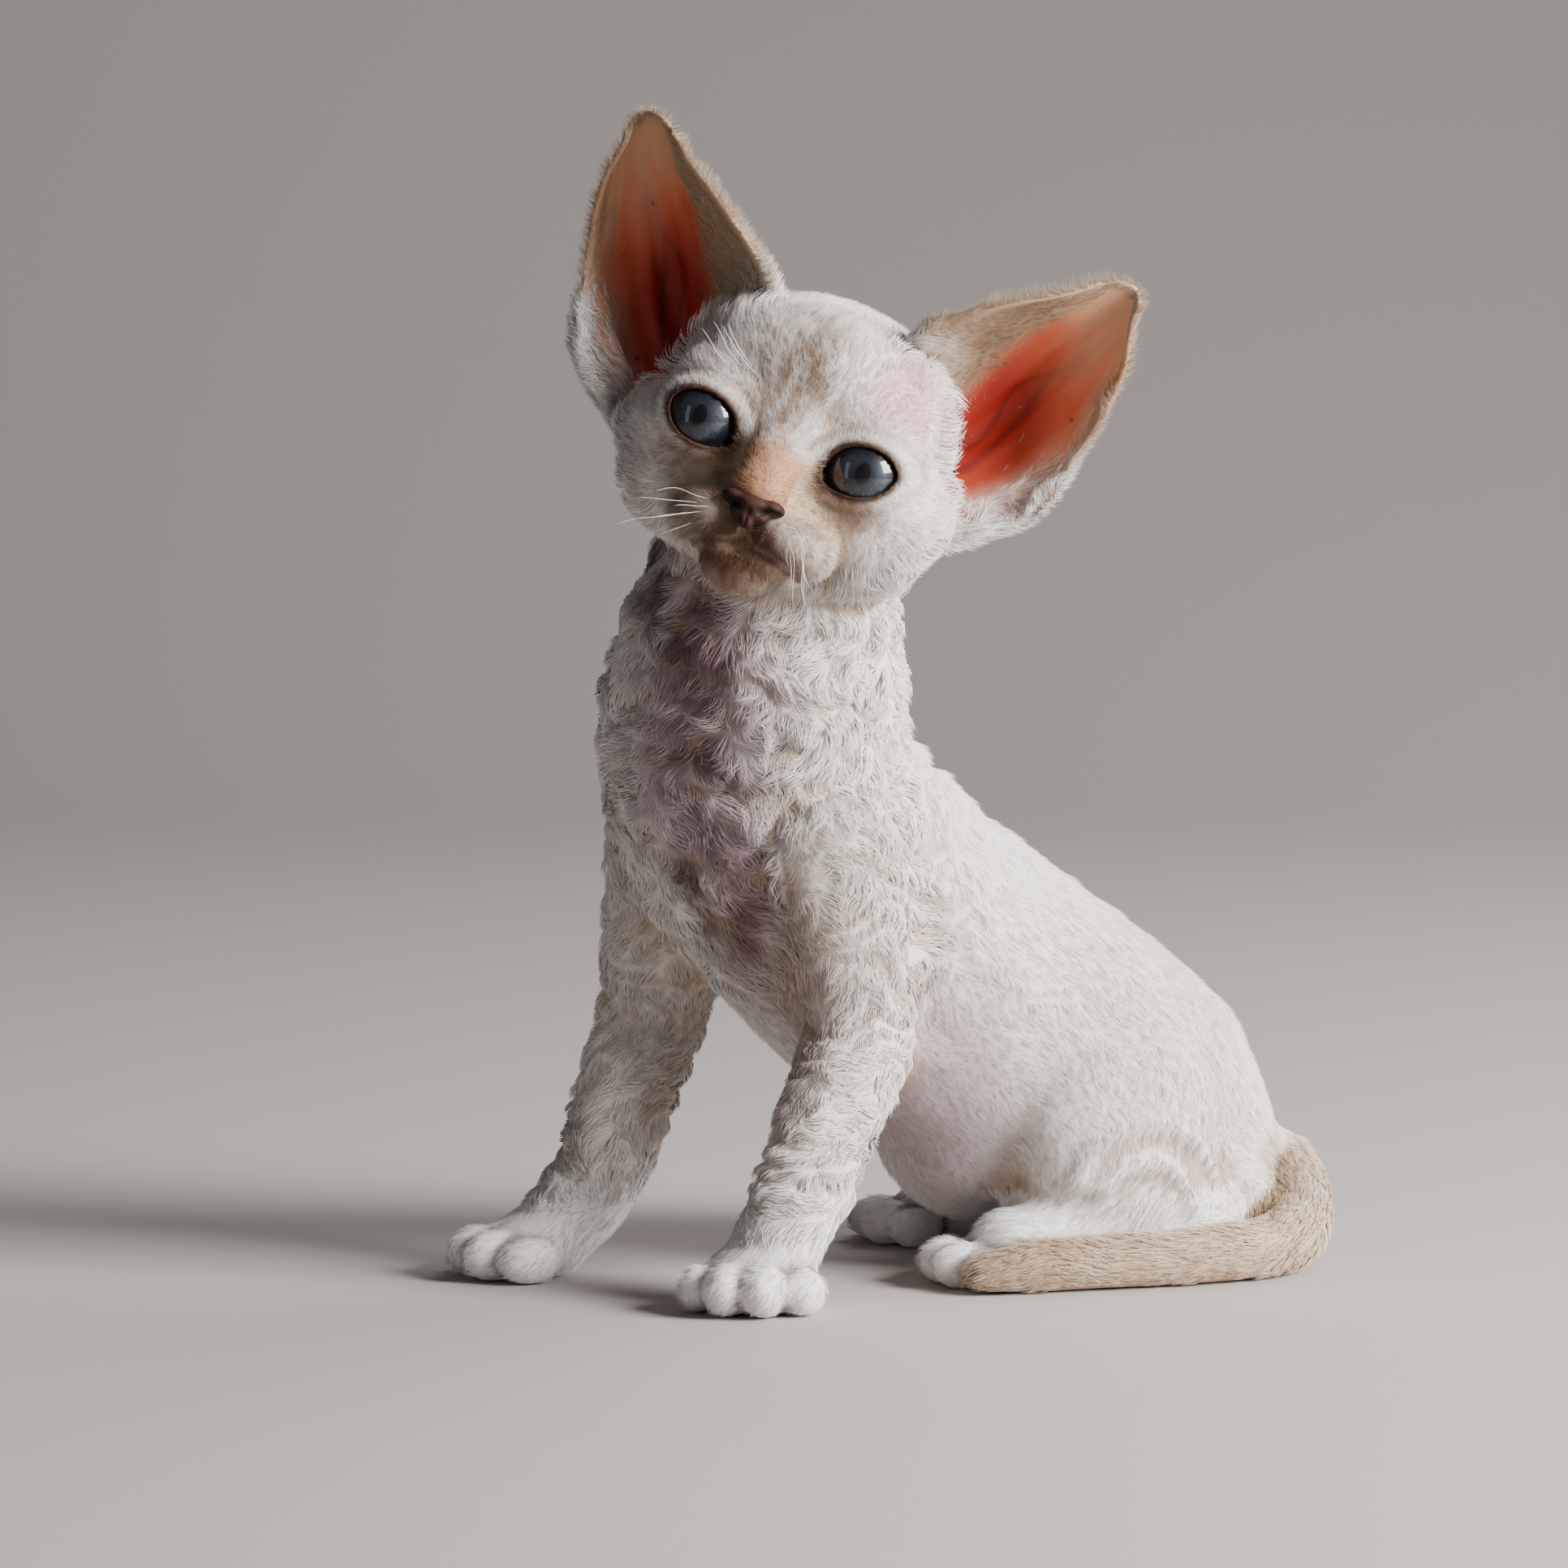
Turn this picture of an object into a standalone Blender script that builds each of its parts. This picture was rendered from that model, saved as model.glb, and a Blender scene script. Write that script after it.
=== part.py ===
# Devon rex kitten about nine weeks old, sitting, at life size, as a still museum model.
# Metres, +Z up. The head looks along -Y, and the body is turned so that the hindquarters lie towards +X and +Y.
# The origin is at the middle of the base of the whole animal. Lengths are written in millimetres times MM.

import math
import random

import bmesh
import bpy
from mathutils import Matrix, Vector
from mathutils.bvhtree import BVHTree

MM = 0.001
GAP = 0.3 * MM  # between touching nodes

# Driving sizes of the head, in the head's own axes: x to the kitten's left, y to the back, z up, and the
# origin midway between the fronts of the eyes.
EYE_SPACING = 30.0 * MM
EYE_RADIUS = 8.2 * MM
EYE_LONG = 13.4 * MM  # opening between the lids, corner to corner
EYE_TALL = 10.0 * MM
EYE_SLANT = 13.0  # degrees, the outer corner higher
SKULL_WIDTH = 56.0 * MM
SKULL_LENGTH = 57.0 * MM
SKULL_HEIGHT = 46.0 * MM
MUZZLE_WIDTH = 26.0 * MM
EAR_WALL = 1.5 * MM
HEAD_PLACE = Vector((-0.7, 0.0, 154.6)) * MM
HEAD_ROLL, HEAD_YAW, HEAD_PITCH = 19.0, -8.0, -2.0  # degrees

# Driving sizes of the body, in the model's axes before the origin is moved under its middle.
FRONT_HEADING = 50.0  # degrees between the line of the chest and -Y
REAR_HEADING = 70.0
FORELEG_RADIUS = 10.9 * MM
HINDFOOT_RADIUS = 7.6 * MM
TAIL_RADIUS = 5.6 * MM

# Sizes of the meshes: the voxels that fuse the forms, and the triangles that each zone keeps.
SOFT_VOXEL, SOFT_PASSES = 1.6 * MM, 14  # broad forms, which flow into each other
FINE_VOXEL, FINE_PASSES = 1.1 * MM, 5  # toes, lids, lips and folds, which keep their shape
HEAD_TRIANGLES = 2100
BODY_TRIANGLES = 2600
CURLED_TRIANGLES = 7500
REGION_TRIANGLES = 150
TAIL_TRIANGLES = 420
NOSE_TRIANGLES = 240
SPHERE_STEPS = (14, 9)
EAR_ROWS, EAR_COLUMNS = 12, 8

CREAM = (0.86, 0.83, 0.80)
COLOURS = {
    "tail": (0.80, 0.68, 0.55),
    "ear": (0.80, 0.68, 0.55),
    "eye": (0.10, 0.12, 0.16),
    "nose": (0.42, 0.18, 0.11),
}

# How far the curls stand above the flesh.
CURL_RISE = 1.5 * MM  # on neck, chest and back
LEG_CURL_RISE = 0.9 * MM


def mm(x, y, z):
    return Vector((x, y, z)) * MM


def clear_scene():
    for obj in list(bpy.data.objects):
        bpy.data.objects.remove(obj)


def new_collection(name, shown):
    collection = bpy.data.collections.new(name)
    bpy.context.scene.collection.children.link(collection)
    collection.hide_render = not shown
    return collection


def new_object(name, mesh, collection):
    obj = bpy.data.objects.new(name, mesh)
    collection.objects.link(obj)
    return obj


def mesh_of(bm, name):
    bmesh.ops.recalc_face_normals(bm, faces=bm.faces)
    mesh = bpy.data.meshes.new(name)
    bm.to_mesh(mesh)
    bm.free()
    return mesh


def frozen(obj):
    """The object's mesh with its modifiers applied."""
    bpy.context.view_layer.update()
    graph = bpy.context.evaluated_depsgraph_get()
    mesh = bpy.data.meshes.new_from_object(obj.evaluated_get(graph))
    obj.modifiers.clear()
    obj.data = mesh
    return obj


# Forms: every soft shape is a run of overlapping ellipsoids, fused by a voxel remesh and smoothed.


def blob(bm, centre, radii, turn=None):
    place = Matrix.Translation(centre) @ (turn.to_4x4() if turn else Matrix.Identity(4))
    size = Matrix.Diagonal((*radii, 1.0))
    bmesh.ops.create_icosphere(bm, subdivisions=3, radius=1.0, matrix=place @ size)


def curve_through(points, t):
    """A Catmull-Rom curve through equally spaced points, at t from 0 to len(points) - 1."""
    last = len(points) - 1
    i = min(int(t), last - 1)
    f = t - i
    p0, p1 = points[max(i - 1, 0)], points[i]
    p2, p3 = points[i + 1], points[min(i + 2, last)]
    return 0.5 * (
        2 * p1 + (p2 - p0) * f + (2 * p0 - 5 * p1 + 4 * p2 - p3) * f * f + (3 * p1 - p0 - 3 * p2 + p3) * f**3
    )


def limb(bm, stations, side, steps=5):
    """A fleshy form along stations of (centre, half width, half depth), its width across along side."""
    centres = [s[0] for s in stations]
    sizes = [Vector((s[1], s[2], 0.0)) for s in stations]
    count = (len(stations) - 1) * steps
    for k in range(count + 1):
        t = k / steps
        centre, size = curve_through(centres, t), curve_through(sizes, t)
        later, sooner = min(t + 0.05, len(stations) - 1), max(t - 0.05, 0)
        ahead = (curve_through(centres, later) - curve_through(centres, sooner)).normalized()
        across = (side - ahead * side.dot(ahead)).normalized()
        turn = Matrix((across, ahead.cross(across), ahead)).transposed()
        blob(bm, centre, (size.x, size.y, min(size.x, size.y)), turn)


def fused(name, bm, voxel, passes, collection):
    """One closed skin round everything in bm."""
    obj = new_object(name, mesh_of(bm, name), collection)
    remesh = obj.modifiers.new("fuse", "REMESH")
    remesh.mode = "VOXEL"
    remesh.voxel_size = voxel
    remesh.adaptivity = 0.0
    relax = obj.modifiers.new("relax", "SMOOTH")
    relax.factor = 0.5
    relax.iterations = passes
    return frozen(obj)


def decimated(obj, triangles):
    bm = bmesh.new()
    bm.from_mesh(obj.data)
    bmesh.ops.triangulate(bm, faces=bm.faces)
    now = len(bm.faces)
    bm.to_mesh(obj.data)
    bm.free()
    thin = obj.modifiers.new("thin", "DECIMATE")
    thin.ratio = min(1.0, triangles / now)
    return frozen(obj)


def boolean(obj, other, operation):
    """Cuts or joins other into obj. other may be an object or a collection of them."""
    step = obj.modifiers.new("step", "BOOLEAN")
    step.operation = operation
    step.solver = "EXACT"
    if isinstance(other, bpy.types.Collection):
        step.operand_type = "COLLECTION"
        step.collection = other
    else:
        step.object = other
    return frozen(obj)


def largest_body(obj):
    """Keeps only the largest closed surface of a node."""
    bm = bmesh.new()
    bm.from_mesh(obj.data)
    bmesh.ops.remove_doubles(bm, verts=bm.verts, dist=0.002 * MM)
    bmesh.ops.dissolve_degenerate(bm, edges=bm.edges, dist=0.002 * MM)
    left, shells = set(bm.verts), []
    while left:
        stack, shell = [left.pop()], []
        while stack:
            vert = stack.pop()
            shell.append(vert)
            for edge in vert.link_edges:
                other = edge.other_vert(vert)
                if other in left:
                    left.remove(other)
                    stack.append(other)
        shells.append(shell)
    shells.sort(key=len)
    bmesh.ops.delete(bm, geom=[v for shell in shells[:-1] for v in shell], context="VERTS")
    bmesh.ops.triangulate(bm, faces=bm.faces)
    bm.to_mesh(obj.data)
    bm.free()
    return obj


def copy_of(obj, name, collection):
    return new_object(name, obj.data.copy(), collection)


def grown(obj, name, by, collection):
    """A copy whose surface stands out by a small distance, to cut a neighbour with a gap."""
    copy = copy_of(obj, name, collection)
    swell = copy.modifiers.new("swell", "DISPLACE")
    swell.strength = by
    swell.mid_level = 0.0
    return frozen(copy)


def halved(obj, point, normal, name, collection):
    """The part of obj on the side that normal points away from, closed with a flat face."""
    bm = bmesh.new()
    bm.from_mesh(obj.data)
    everything = bm.verts[:] + bm.edges[:] + bm.faces[:]
    bmesh.ops.bisect_plane(bm, geom=everything, dist=1e-7, plane_co=point, plane_no=normal, clear_outer=True)
    rim = [e for e in bm.edges if e.is_boundary]
    bmesh.ops.holes_fill(bm, edges=rim)
    bmesh.ops.triangulate(bm, faces=bm.faces)
    return new_object(name, mesh_of(bm, name), collection)


def box(name, low, high, turn, place, collection):
    """A closed box from low to high in its own axes, turned and then placed."""
    size, middle = high - low, (high + low) / 2
    bm = bmesh.new()
    own = Matrix.Translation(middle) @ Matrix.Diagonal((*size, 1.0))
    bmesh.ops.create_cube(bm, size=1.0, matrix=Matrix.Translation(place) @ turn.to_4x4() @ own)
    return new_object(name, mesh_of(bm, name), collection)


def heading_axes(degrees):
    """Columns: towards the kitten's left, towards its tail, up."""
    a = math.radians(degrees)
    ahead = Vector((-math.sin(a), -math.cos(a), 0.0))
    left = Vector((math.cos(a), -math.sin(a), 0.0))
    return Matrix((left, -ahead, Vector((0, 0, 1)))).transposed()


def head_axes():
    roll = Matrix.Rotation(math.radians(HEAD_ROLL), 3, "Y")
    yaw = Matrix.Rotation(math.radians(HEAD_YAW), 3, "Z")
    pitch = Matrix.Rotation(math.radians(HEAD_PITCH), 3, "X")
    return roll @ yaw @ pitch


HEAD = Matrix.Translation(HEAD_PLACE) @ head_axes().to_4x4()


def in_head(x, y, z):
    return HEAD @ mm(x, y, z)


# The head


def head_base(bm):
    turn = head_axes()
    half_width, half_length, half_height = SKULL_WIDTH / 2, SKULL_LENGTH / 2, SKULL_HEIGHT / 2
    blob(bm, in_head(0, 31, 6.2), (half_width, half_length, half_height), turn)
    blob(bm, in_head(0, 16, 12), (21.5 * MM, 14.5 * MM, 14.5 * MM), turn)
    blob(bm, in_head(0, 6.5, 0), (10 * MM, 8.5 * MM, 10 * MM), turn)
    blob(bm, in_head(0, 4.5, -12.5), (13 * MM, 10 * MM, 9 * MM), turn)
    blob(bm, in_head(0, 13, -16.5), (15.5 * MM, 15 * MM, 10 * MM), turn)
    for side in (-1, 1):
        blob(bm, in_head(side * 13.5, 9, 7.5), (10.5 * MM, 7.5 * MM, 6.5 * MM), turn)
        blob(bm, in_head(side * 20.5, 19, -4), (11 * MM, 15 * MM, 10.5 * MM), turn)
        blob(bm, in_head(side * 16, 17, -10.5), (12.5 * MM, 14 * MM, 11 * MM), turn)
        blob(bm, eye_centre(side), (EYE_RADIUS + 1.6 * MM,) * 3, turn)


def head_details(bm):
    turn = head_axes()
    pad = MUZZLE_WIDTH / 4
    for side in (-1, 1):
        blob(bm, eye_centre(side), (EYE_RADIUS + 1.5 * MM,) * 3, turn)
        blob(bm, in_head(side * 6.2, -3.4, -15.4), (pad * 1.12, 7.0 * MM, 5.7 * MM), turn)
        blob(bm, in_head(side * 9.6, 1.0, -16.4), (6.6 * MM, 8 * MM, 5.6 * MM), turn)
    blob(bm, in_head(0, -1.4, -22.6), (7.4 * MM, 7.0 * MM, 5.0 * MM), turn)
    bridge = [
        (in_head(0, 3.2, 1), 6.2 * MM, 5.6 * MM),
        (in_head(0, -2.0, -3.8), 5.6 * MM, 5.0 * MM),
        (in_head(0, -6.6, -8.4), 5.4 * MM, 4.6 * MM),
    ]
    limb(bm, bridge, turn.col[0], 4)


def eye_centre(side):
    return in_head(side * EYE_SPACING / 2 / MM, EYE_RADIUS / MM - 1.0, 0.1)


def eye_opening(side, cutters):
    """A pointed oval prism through the lids, in front of the eyeball."""
    bm = bmesh.new()
    place = HEAD @ Matrix.Translation(mm(side * EYE_SPACING / 2 / MM, -6, 0.1))
    place = place @ Matrix.Rotation(math.radians(-side * EYE_SLANT), 4, "Y")
    place = place @ Matrix.Rotation(math.pi / 2, 4, "X")
    size = Matrix.Diagonal((EYE_LONG / 2, EYE_TALL / 2, 1.0, 1.0))
    bmesh.ops.create_cone(
        bm, cap_ends=True, segments=22, radius1=1.0, radius2=1.0, depth=14 * MM, matrix=place @ size
    )
    return new_object(f"opening{side}", mesh_of(bm, "opening"), cutters)


def sphere(name, centre, radius, collection):
    bm = bmesh.new()
    place = Matrix.Translation(centre) @ head_axes().to_4x4() @ Matrix.Rotation(math.pi / 2, 4, "X")
    bmesh.ops.create_uvsphere(
        bm, u_segments=SPHERE_STEPS[0], v_segments=SPHERE_STEPS[1], radius=radius, matrix=place
    )
    return new_object(name, mesh_of(bm, name), collection)


def wire(name, points, radius, collection):
    """A round wire through points, as a closed mesh."""
    curve = bpy.data.curves.new(name, "CURVE")
    curve.dimensions = "3D"
    curve.bevel_depth = radius
    curve.bevel_resolution = 0
    curve.use_fill_caps = True
    spline = curve.splines.new("POLY")
    spline.points.add(len(points) - 1)
    for point, place in zip(spline.points, points):
        point.co = (*place, 1.0)
    guide = new_object(name + "_line", curve, collection)
    bpy.context.view_layer.update()
    mesh = bpy.data.meshes.new_from_object(guide.evaluated_get(bpy.context.evaluated_depsgraph_get()))
    bm = bmesh.new()
    bm.from_mesh(mesh)
    bmesh.ops.remove_doubles(bm, verts=bm.verts, dist=0.001 * MM)
    bpy.data.objects.remove(guide)
    return new_object(name, mesh_of(bm, name), collection)


def surface_tree(obj):
    bm = bmesh.new()
    bm.from_mesh(obj.data)
    tree = BVHTree.FromBMesh(bm)
    bm.free()
    return tree


def laid_on(tree, starts, inward):
    """The places where rays from starts first meet the surface."""
    return [tree.ray_cast(start, inward)[0] for start in starts]


def mouth_points(side, head):
    """The line of the lips on the surface, from under the nose out to the corner."""
    line = [(0, -15.5), (0.2, -17.8), (2.8, -19.6), (6.8, -20.6), (10.6, -21.2), (13.4, -20.6)]
    line = [Vector(p) for p in line]
    spots = [curve_through(line, k / 3) for k in range(3 * (len(line) - 1) + 1)]
    return laid_on(surface_tree(head), [in_head(side * p.x, -40, p.y) for p in spots], head_axes().col[1])


def nose_blob(name, collection):
    """The bare nose: a rounded wedge, wide above and narrow below."""
    bm = bmesh.new()
    turn = head_axes()
    for side in (-1, 1):
        blob(bm, in_head(side * 3.0, -10.0, -10.6), (2.9 * MM, 2.6 * MM, 2.2 * MM), turn)
    blob(bm, in_head(0, -10.9, -10.9), (3.6 * MM, 2.6 * MM, 2.3 * MM), turn)
    blob(bm, in_head(0, -10.2, -13.4), (1.7 * MM, 2.4 * MM, 2.6 * MM), turn)
    obj = fused(name, bm, 0.45 * MM, 6, collection)
    return decimated(obj, NOSE_TRIANGLES)


# The ears: a curved sheet between an inner edge and an outer edge, given its wall's thickness.

INNER_EDGE = [(12.5, 17, 24), (17, 14.5, 30), (26, 14, 37), (35.5, 16, 43.3), (42.5, 19, 48.0)]
OUTER_EDGE = [(30.5, 22, -7), (43.0, 26.5, 3.5), (47.4, 27.0, 18), (49.0, 24.5, 33), (45.4, 20.5, 46.8)]
CUP_DEPTH = [15.0, 16.0, 12.5, 7.5, 1.5]
EAR_DROP = {1: 3.5, -1: 0.0}  # degrees by which each ear is let down about its root


def ear_point(side, up, across):
    """A point of the ear's middle surface: up from root to tip, across from inner to outer edge, 0 to 1."""
    t = up * (len(INNER_EDGE) - 1)
    inner = curve_through([Vector(p) for p in INNER_EDGE], t)
    outer = curve_through([Vector(p) for p in OUTER_EDGE], t)
    depth = curve_through([Vector((d, 0, 0)) for d in CUP_DEPTH], t).x
    chord = (outer - inner).normalized()
    back = (Vector((0.25, 1.0, -0.05)) - chord * chord.y).normalized()
    bow = math.sin(math.pi * across) ** 0.8
    point = inner.lerp(outer, across) + back * depth * bow
    root = Vector((24, 22, 8))
    point = Matrix.Rotation(math.radians(EAR_DROP[side]), 3, "Y") @ (point - root) + root
    return in_head(side * point.x, point.y, point.z)


def ear_sheet(side, name, collection):
    bm = bmesh.new()
    bmesh.ops.create_grid(bm, x_segments=EAR_COLUMNS, y_segments=EAR_ROWS, size=0.5)
    for vert in bm.verts:
        vert.co = ear_point(side, vert.co.y + 0.5, vert.co.x + 0.5)
    bmesh.ops.triangulate(bm, faces=bm.faces)
    obj = new_object(name, mesh_of(bm, name), collection)
    wall = obj.modifiers.new("wall", "SOLIDIFY")
    wall.thickness = EAR_WALL
    wall.offset = 0.0
    return frozen(obj)


def concha(side, cutters):
    """The hollow at the root of the ear."""
    bm = bmesh.new()
    size = Matrix.Diagonal((6 * MM, 7 * MM, 10 * MM, 1.0))
    place = HEAD @ Matrix.Translation(mm(side * 26.5, 27.5, 9)) @ size
    bmesh.ops.create_uvsphere(bm, u_segments=12, v_segments=8, radius=1.0, matrix=place)
    return new_object(f"concha{side}", mesh_of(bm, "concha"), cutters)


# The body


def torso_blobs(bm):
    side = heading_axes(FRONT_HEADING + 8).col[0]
    spine = [
        (mm(1.5, 30, 141), 19 * MM, 19.5 * MM),
        (mm(-2.2, 34, 126), 24 * MM, 24.5 * MM),
        (mm(-4.8, 40, 110), 28 * MM, 28.5 * MM),
        (mm(-4.8, 46, 94), 28.5 * MM, 31 * MM),
        (mm(3, 50, 79), 27 * MM, 31 * MM),
        (mm(15, 55, 65), 27 * MM, 32 * MM),
        (mm(31, 60, 51), 27.5 * MM, 33 * MM),
        (mm(47, 64, 39), 27 * MM, 33 * MM),
        (mm(63, 68, 29), 25 * MM, 30 * MM),
        (mm(75, 72, 20), 19 * MM, 22 * MM),
    ]
    limb(bm, [(place, w - CURL_RISE, d - CURL_RISE) for place, w, d in spine], side, 4)
    blob(bm, mm(35, 61, 28), (20 * MM, 20 * MM, 20.5 * MM))


def foreleg_blobs(bm, shoulder, elbow, wrist, paw):
    """One foreleg from its shoulder down. paw is (centre, heading of the toes in degrees)."""
    r = FORELEG_RADIUS - LEG_CURL_RISE
    side = heading_axes(FRONT_HEADING).col[0]
    upper = [
        (shoulder, r * 1.2, r * 1.5),
        (shoulder.lerp(elbow, 0.5), r * 1.12, r * 1.35),
        (elbow, r * 1.0, r * 1.1),
    ]
    limb(bm, upper, side)
    lower = [
        (elbow, r * 1.0, r * 1.08),
        (elbow.lerp(wrist, 0.5), r * 0.97, r * 1.0),
        (wrist, r * 0.9, r * 0.92),
        (wrist.lerp(paw[0], 0.6), r * 0.92, r * 0.84),
    ]
    limb(bm, lower, side)
    blob(bm, paw[0], (11 * MM, 10.5 * MM, 7.4 * MM), heading_axes(paw[1]))


TOES = [(-9.4, 6.0, 4.3), (-3.3, 9.6, 4.8), (3.5, 9.4, 4.8), (9.6, 5.4, 4.3)]  # across, ahead, radius
TOE_SINK = 0.8  # how far the soles are let into the floor before they are cut flat


def toe_blobs(bm, centre, heading, size):
    turn = heading_axes(heading)
    side, back = turn.col[0], turn.col[1]
    for across, ahead, radius in TOES:
        place = centre + side * across * MM * size - back * ahead * MM * size
        place.z = (radius * 1.15 * size - TOE_SINK) * MM
        blob(bm, place, (radius * MM * size, radius * 1.45 * MM * size, radius * 1.15 * MM * size), turn)


def foot_heading(heel, toes):
    away = toes - heel
    return math.degrees(math.atan2(-away.x, -away.y))


def hindleg_blobs(bm, hip, knee, heel, toes):
    side = heading_axes(REAR_HEADING).col[0]
    blob(bm, hip.lerp(knee, 0.42), THIGH_RADII, thigh_turn(hip, knee))
    shin = [(knee, 10.5 * MM, 11.5 * MM), (knee.lerp(heel, 0.5), 9 * MM, 10.5 * MM), (heel, 7 * MM, 7 * MM)]
    limb(bm, shin, side)
    r = HINDFOOT_RADIUS
    middle, ball = heel.lerp(toes, 0.5), heel.lerp(toes, 0.8)
    limb(bm, [(heel, r, r), (middle, r * 1.05, r * 1.05), (ball, r * 1.25, r * 1.1)], side)


THIGH_RADII = (12.5 * MM, 21 * MM, 23 * MM)


def thigh_turn(hip, knee):
    side = heading_axes(REAR_HEADING).col[0]
    ahead = (knee - hip).normalized()
    across = (side - ahead * side.dot(ahead)).normalized()
    return Matrix((across, ahead.cross(across), ahead)).transposed()


# The loose skin above the left hock, as (x, z) seen from the front.
FOLDS = [
    [(53.5, 19), (56, 25), (62.5, 28.5), (70, 28.5), (76.5, 24), (80, 16)],
    [(58, 17.5), (62.5, 21.5), (68.5, 21.8), (73, 18), (75, 12.5)],
]


def tail_blobs(bm):
    r = TAIL_RADIUS
    line = [
        (mm(78, 76, 22), r * 1.4),
        (mm(87, 76, 20), r * 1.35),
        (mm(94, 69, 15.5), r * 1.28),
        (mm(95.6, 58, 9.5), r * 1.2),
        (mm(91.5, 48, 6.0), r * 1.12),
        (mm(82, 40, 5.2), r * 1.05),
        (mm(69.5, 34.5, 4.9), r * 1.0),
        (mm(56.5, 30.5, 4.7), r * 0.96),
        (mm(45.5, 26.8, 4.4), r * 0.9),
        (mm(37, 24, 3.6), r * 0.66),
    ]
    limb(bm, [(p, radius, radius) for p, radius in line], Vector((0, 0, 1)), 5)


LEFT_FORE = (mm(9, 29, 84), mm(15, 34, 49), mm(2, 13, 17), (mm(-4.5, 8.5, 5.8), 14.0))
RIGHT_FORE = (mm(-19, 60, 84), mm(-24, 61, 48), mm(-35, 52, 16), (mm(-46, 47, 5.6), 64.0))
LEFT_HIND = (mm(69, 54, 34), mm(54, 43.5, 21), mm(78, 52, 6.6), mm(32, 34.5, 6.6))
RIGHT_HIND = (mm(60, 84, 34), mm(41, 90, 21), mm(66, 100, 6.6), mm(20, 87, 6.6))


def whole_body(cutters):
    bm = bmesh.new()
    torso_blobs(bm)
    head_base(bm)
    for leg in (LEFT_FORE, RIGHT_FORE):
        foreleg_blobs(bm, *leg)
    for leg in (LEFT_HIND, RIGHT_HIND):
        hindleg_blobs(bm, *leg)
    soft = fused("soft", bm, SOFT_VOXEL, SOFT_PASSES, cutters)
    bm = bmesh.new()
    bm.from_mesh(soft.data)
    head_details(bm)
    for leg in (LEFT_FORE, RIGHT_FORE):
        toe_blobs(bm, *leg[3], 1.0)
    for leg in (LEFT_HIND, RIGHT_HIND):
        toe_blobs(bm, leg[2].lerp(leg[3], 0.84), foot_heading(leg[2], leg[3]), 0.92)
    tree = surface_tree(soft)
    for fold in FOLDS:
        places = laid_on(tree, [mm(x, -50, z) for x, z in fold], Vector((0, 1, 0)))
        limb(bm, [(place, 1.9 * MM, 2.6 * MM) for place in places], Vector((0, 1, 0)), 4)
    return fused("whole", bm, FINE_VOXEL, FINE_PASSES, cutters)


# The curly coat: rounded clumps set close, each a low ovoid bent to one side and sunk by more than half.

CLUMP_STEPS = (7, 4)
SEED = 11
# Each zone: least distance between clumps, then length, width and height of one, all in millimetres.
CURLS = {"ruff": (9.0, 13.5, 9.2, 5.2), "leg": (8.4, 12.5, 7.4, 3.9), "back": (13.0, 18.0, 12.0, 4.4)}


THIGH_SIDE = Vector((0.3, -0.9, 0.0))  # the haunch faces this way, and its fur is short


def coat_zone(place, normal):
    """Which curls grow at a place of the body, and along which way they lie. None where the fur is short."""
    x, y, z = place / MM
    down = Vector((0.15, 0.1, -1.0))
    for shoulder, elbow, wrist, paw in (LEFT_FORE, RIGHT_FORE):
        for top, foot in ((elbow, wrist), (shoulder, elbow)):
            along = foot - top
            t = (place - top).dot(along) / along.length_squared
            off = (place - top - along * t).length
            if 0.0 < t < 0.92 and off < 14.5 * MM and z < 74:
                return "leg", along.cross(normal)
    if z > 58 and x < 36:
        return "ruff", down
    if z > 42 and normal.z > 0.1 and 12 < x < 66 and normal.dot(THIGH_SIDE) < 0.8:
        return "back", Vector((0.8, 0.2, -0.6))
    return None, None


def spread(body, draw):
    """Places on the body, no two nearer than their zone allows, each as (place, normal, zone, lie)."""
    faces = list(body.data.polygons)
    weights = [face.area for face in faces]
    chosen = []
    for face in draw.choices(faces, weights, k=9000):
        a, b, c = (body.data.vertices[i].co for i in face.vertices)
        u, v = draw.random(), draw.random()
        if u + v > 1:
            u, v = 1 - u, 1 - v
        place = a + (b - a) * u + (c - a) * v
        zone, lie = coat_zone(place, face.normal)
        if zone and all((place - other[0]).length > CURLS[zone][0] * MM for other in chosen):
            chosen.append((place, face.normal.copy(), zone, lie))
    return chosen


def clump(place, normal, zone, lie, draw, collection, name):
    length, width, height = (size * MM / 2 * draw.uniform(0.88, 1.12) for size in CURLS[zone][1:])
    along = (lie - normal * lie.dot(normal)).normalized()
    along = Matrix.Rotation(math.radians(draw.uniform(-28, 28)), 3, normal) @ along
    bend = draw.choice((-1, 1)) * draw.uniform(0.25, 0.5) * width
    bm = bmesh.new()
    bmesh.ops.create_uvsphere(bm, u_segments=CLUMP_STEPS[0], v_segments=CLUMP_STEPS[1], radius=1.0)
    turn = Matrix((normal.cross(along), along, normal)).transposed()
    for vert in bm.verts:
        own = vert.co
        shaped = Vector((own.x * width + bend * (1 - own.y * own.y), own.y * length, (own.z - 0.42) * height))
        vert.co = place + turn @ shaped
    return new_object(name, mesh_of(bm, name), collection)


def curled(body):
    """Fuses the clumps onto the body in one union."""
    draw = random.Random(SEED)
    clumps = new_collection("clumps", False)
    for k, spot in enumerate(spread(body, draw)):
        clump(*spot, draw, clumps, f"clump{k}")
    print("clumps", len(clumps.objects))
    boolean(body, clumps, "UNION")
    for obj in list(clumps.objects):
        bpy.data.objects.remove(obj)
    bpy.data.collections.remove(clumps)
    return largest_body(body)


# Parting the whole: a region solid keeps a node, and the same region grown by the gap cuts the rest.


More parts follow.
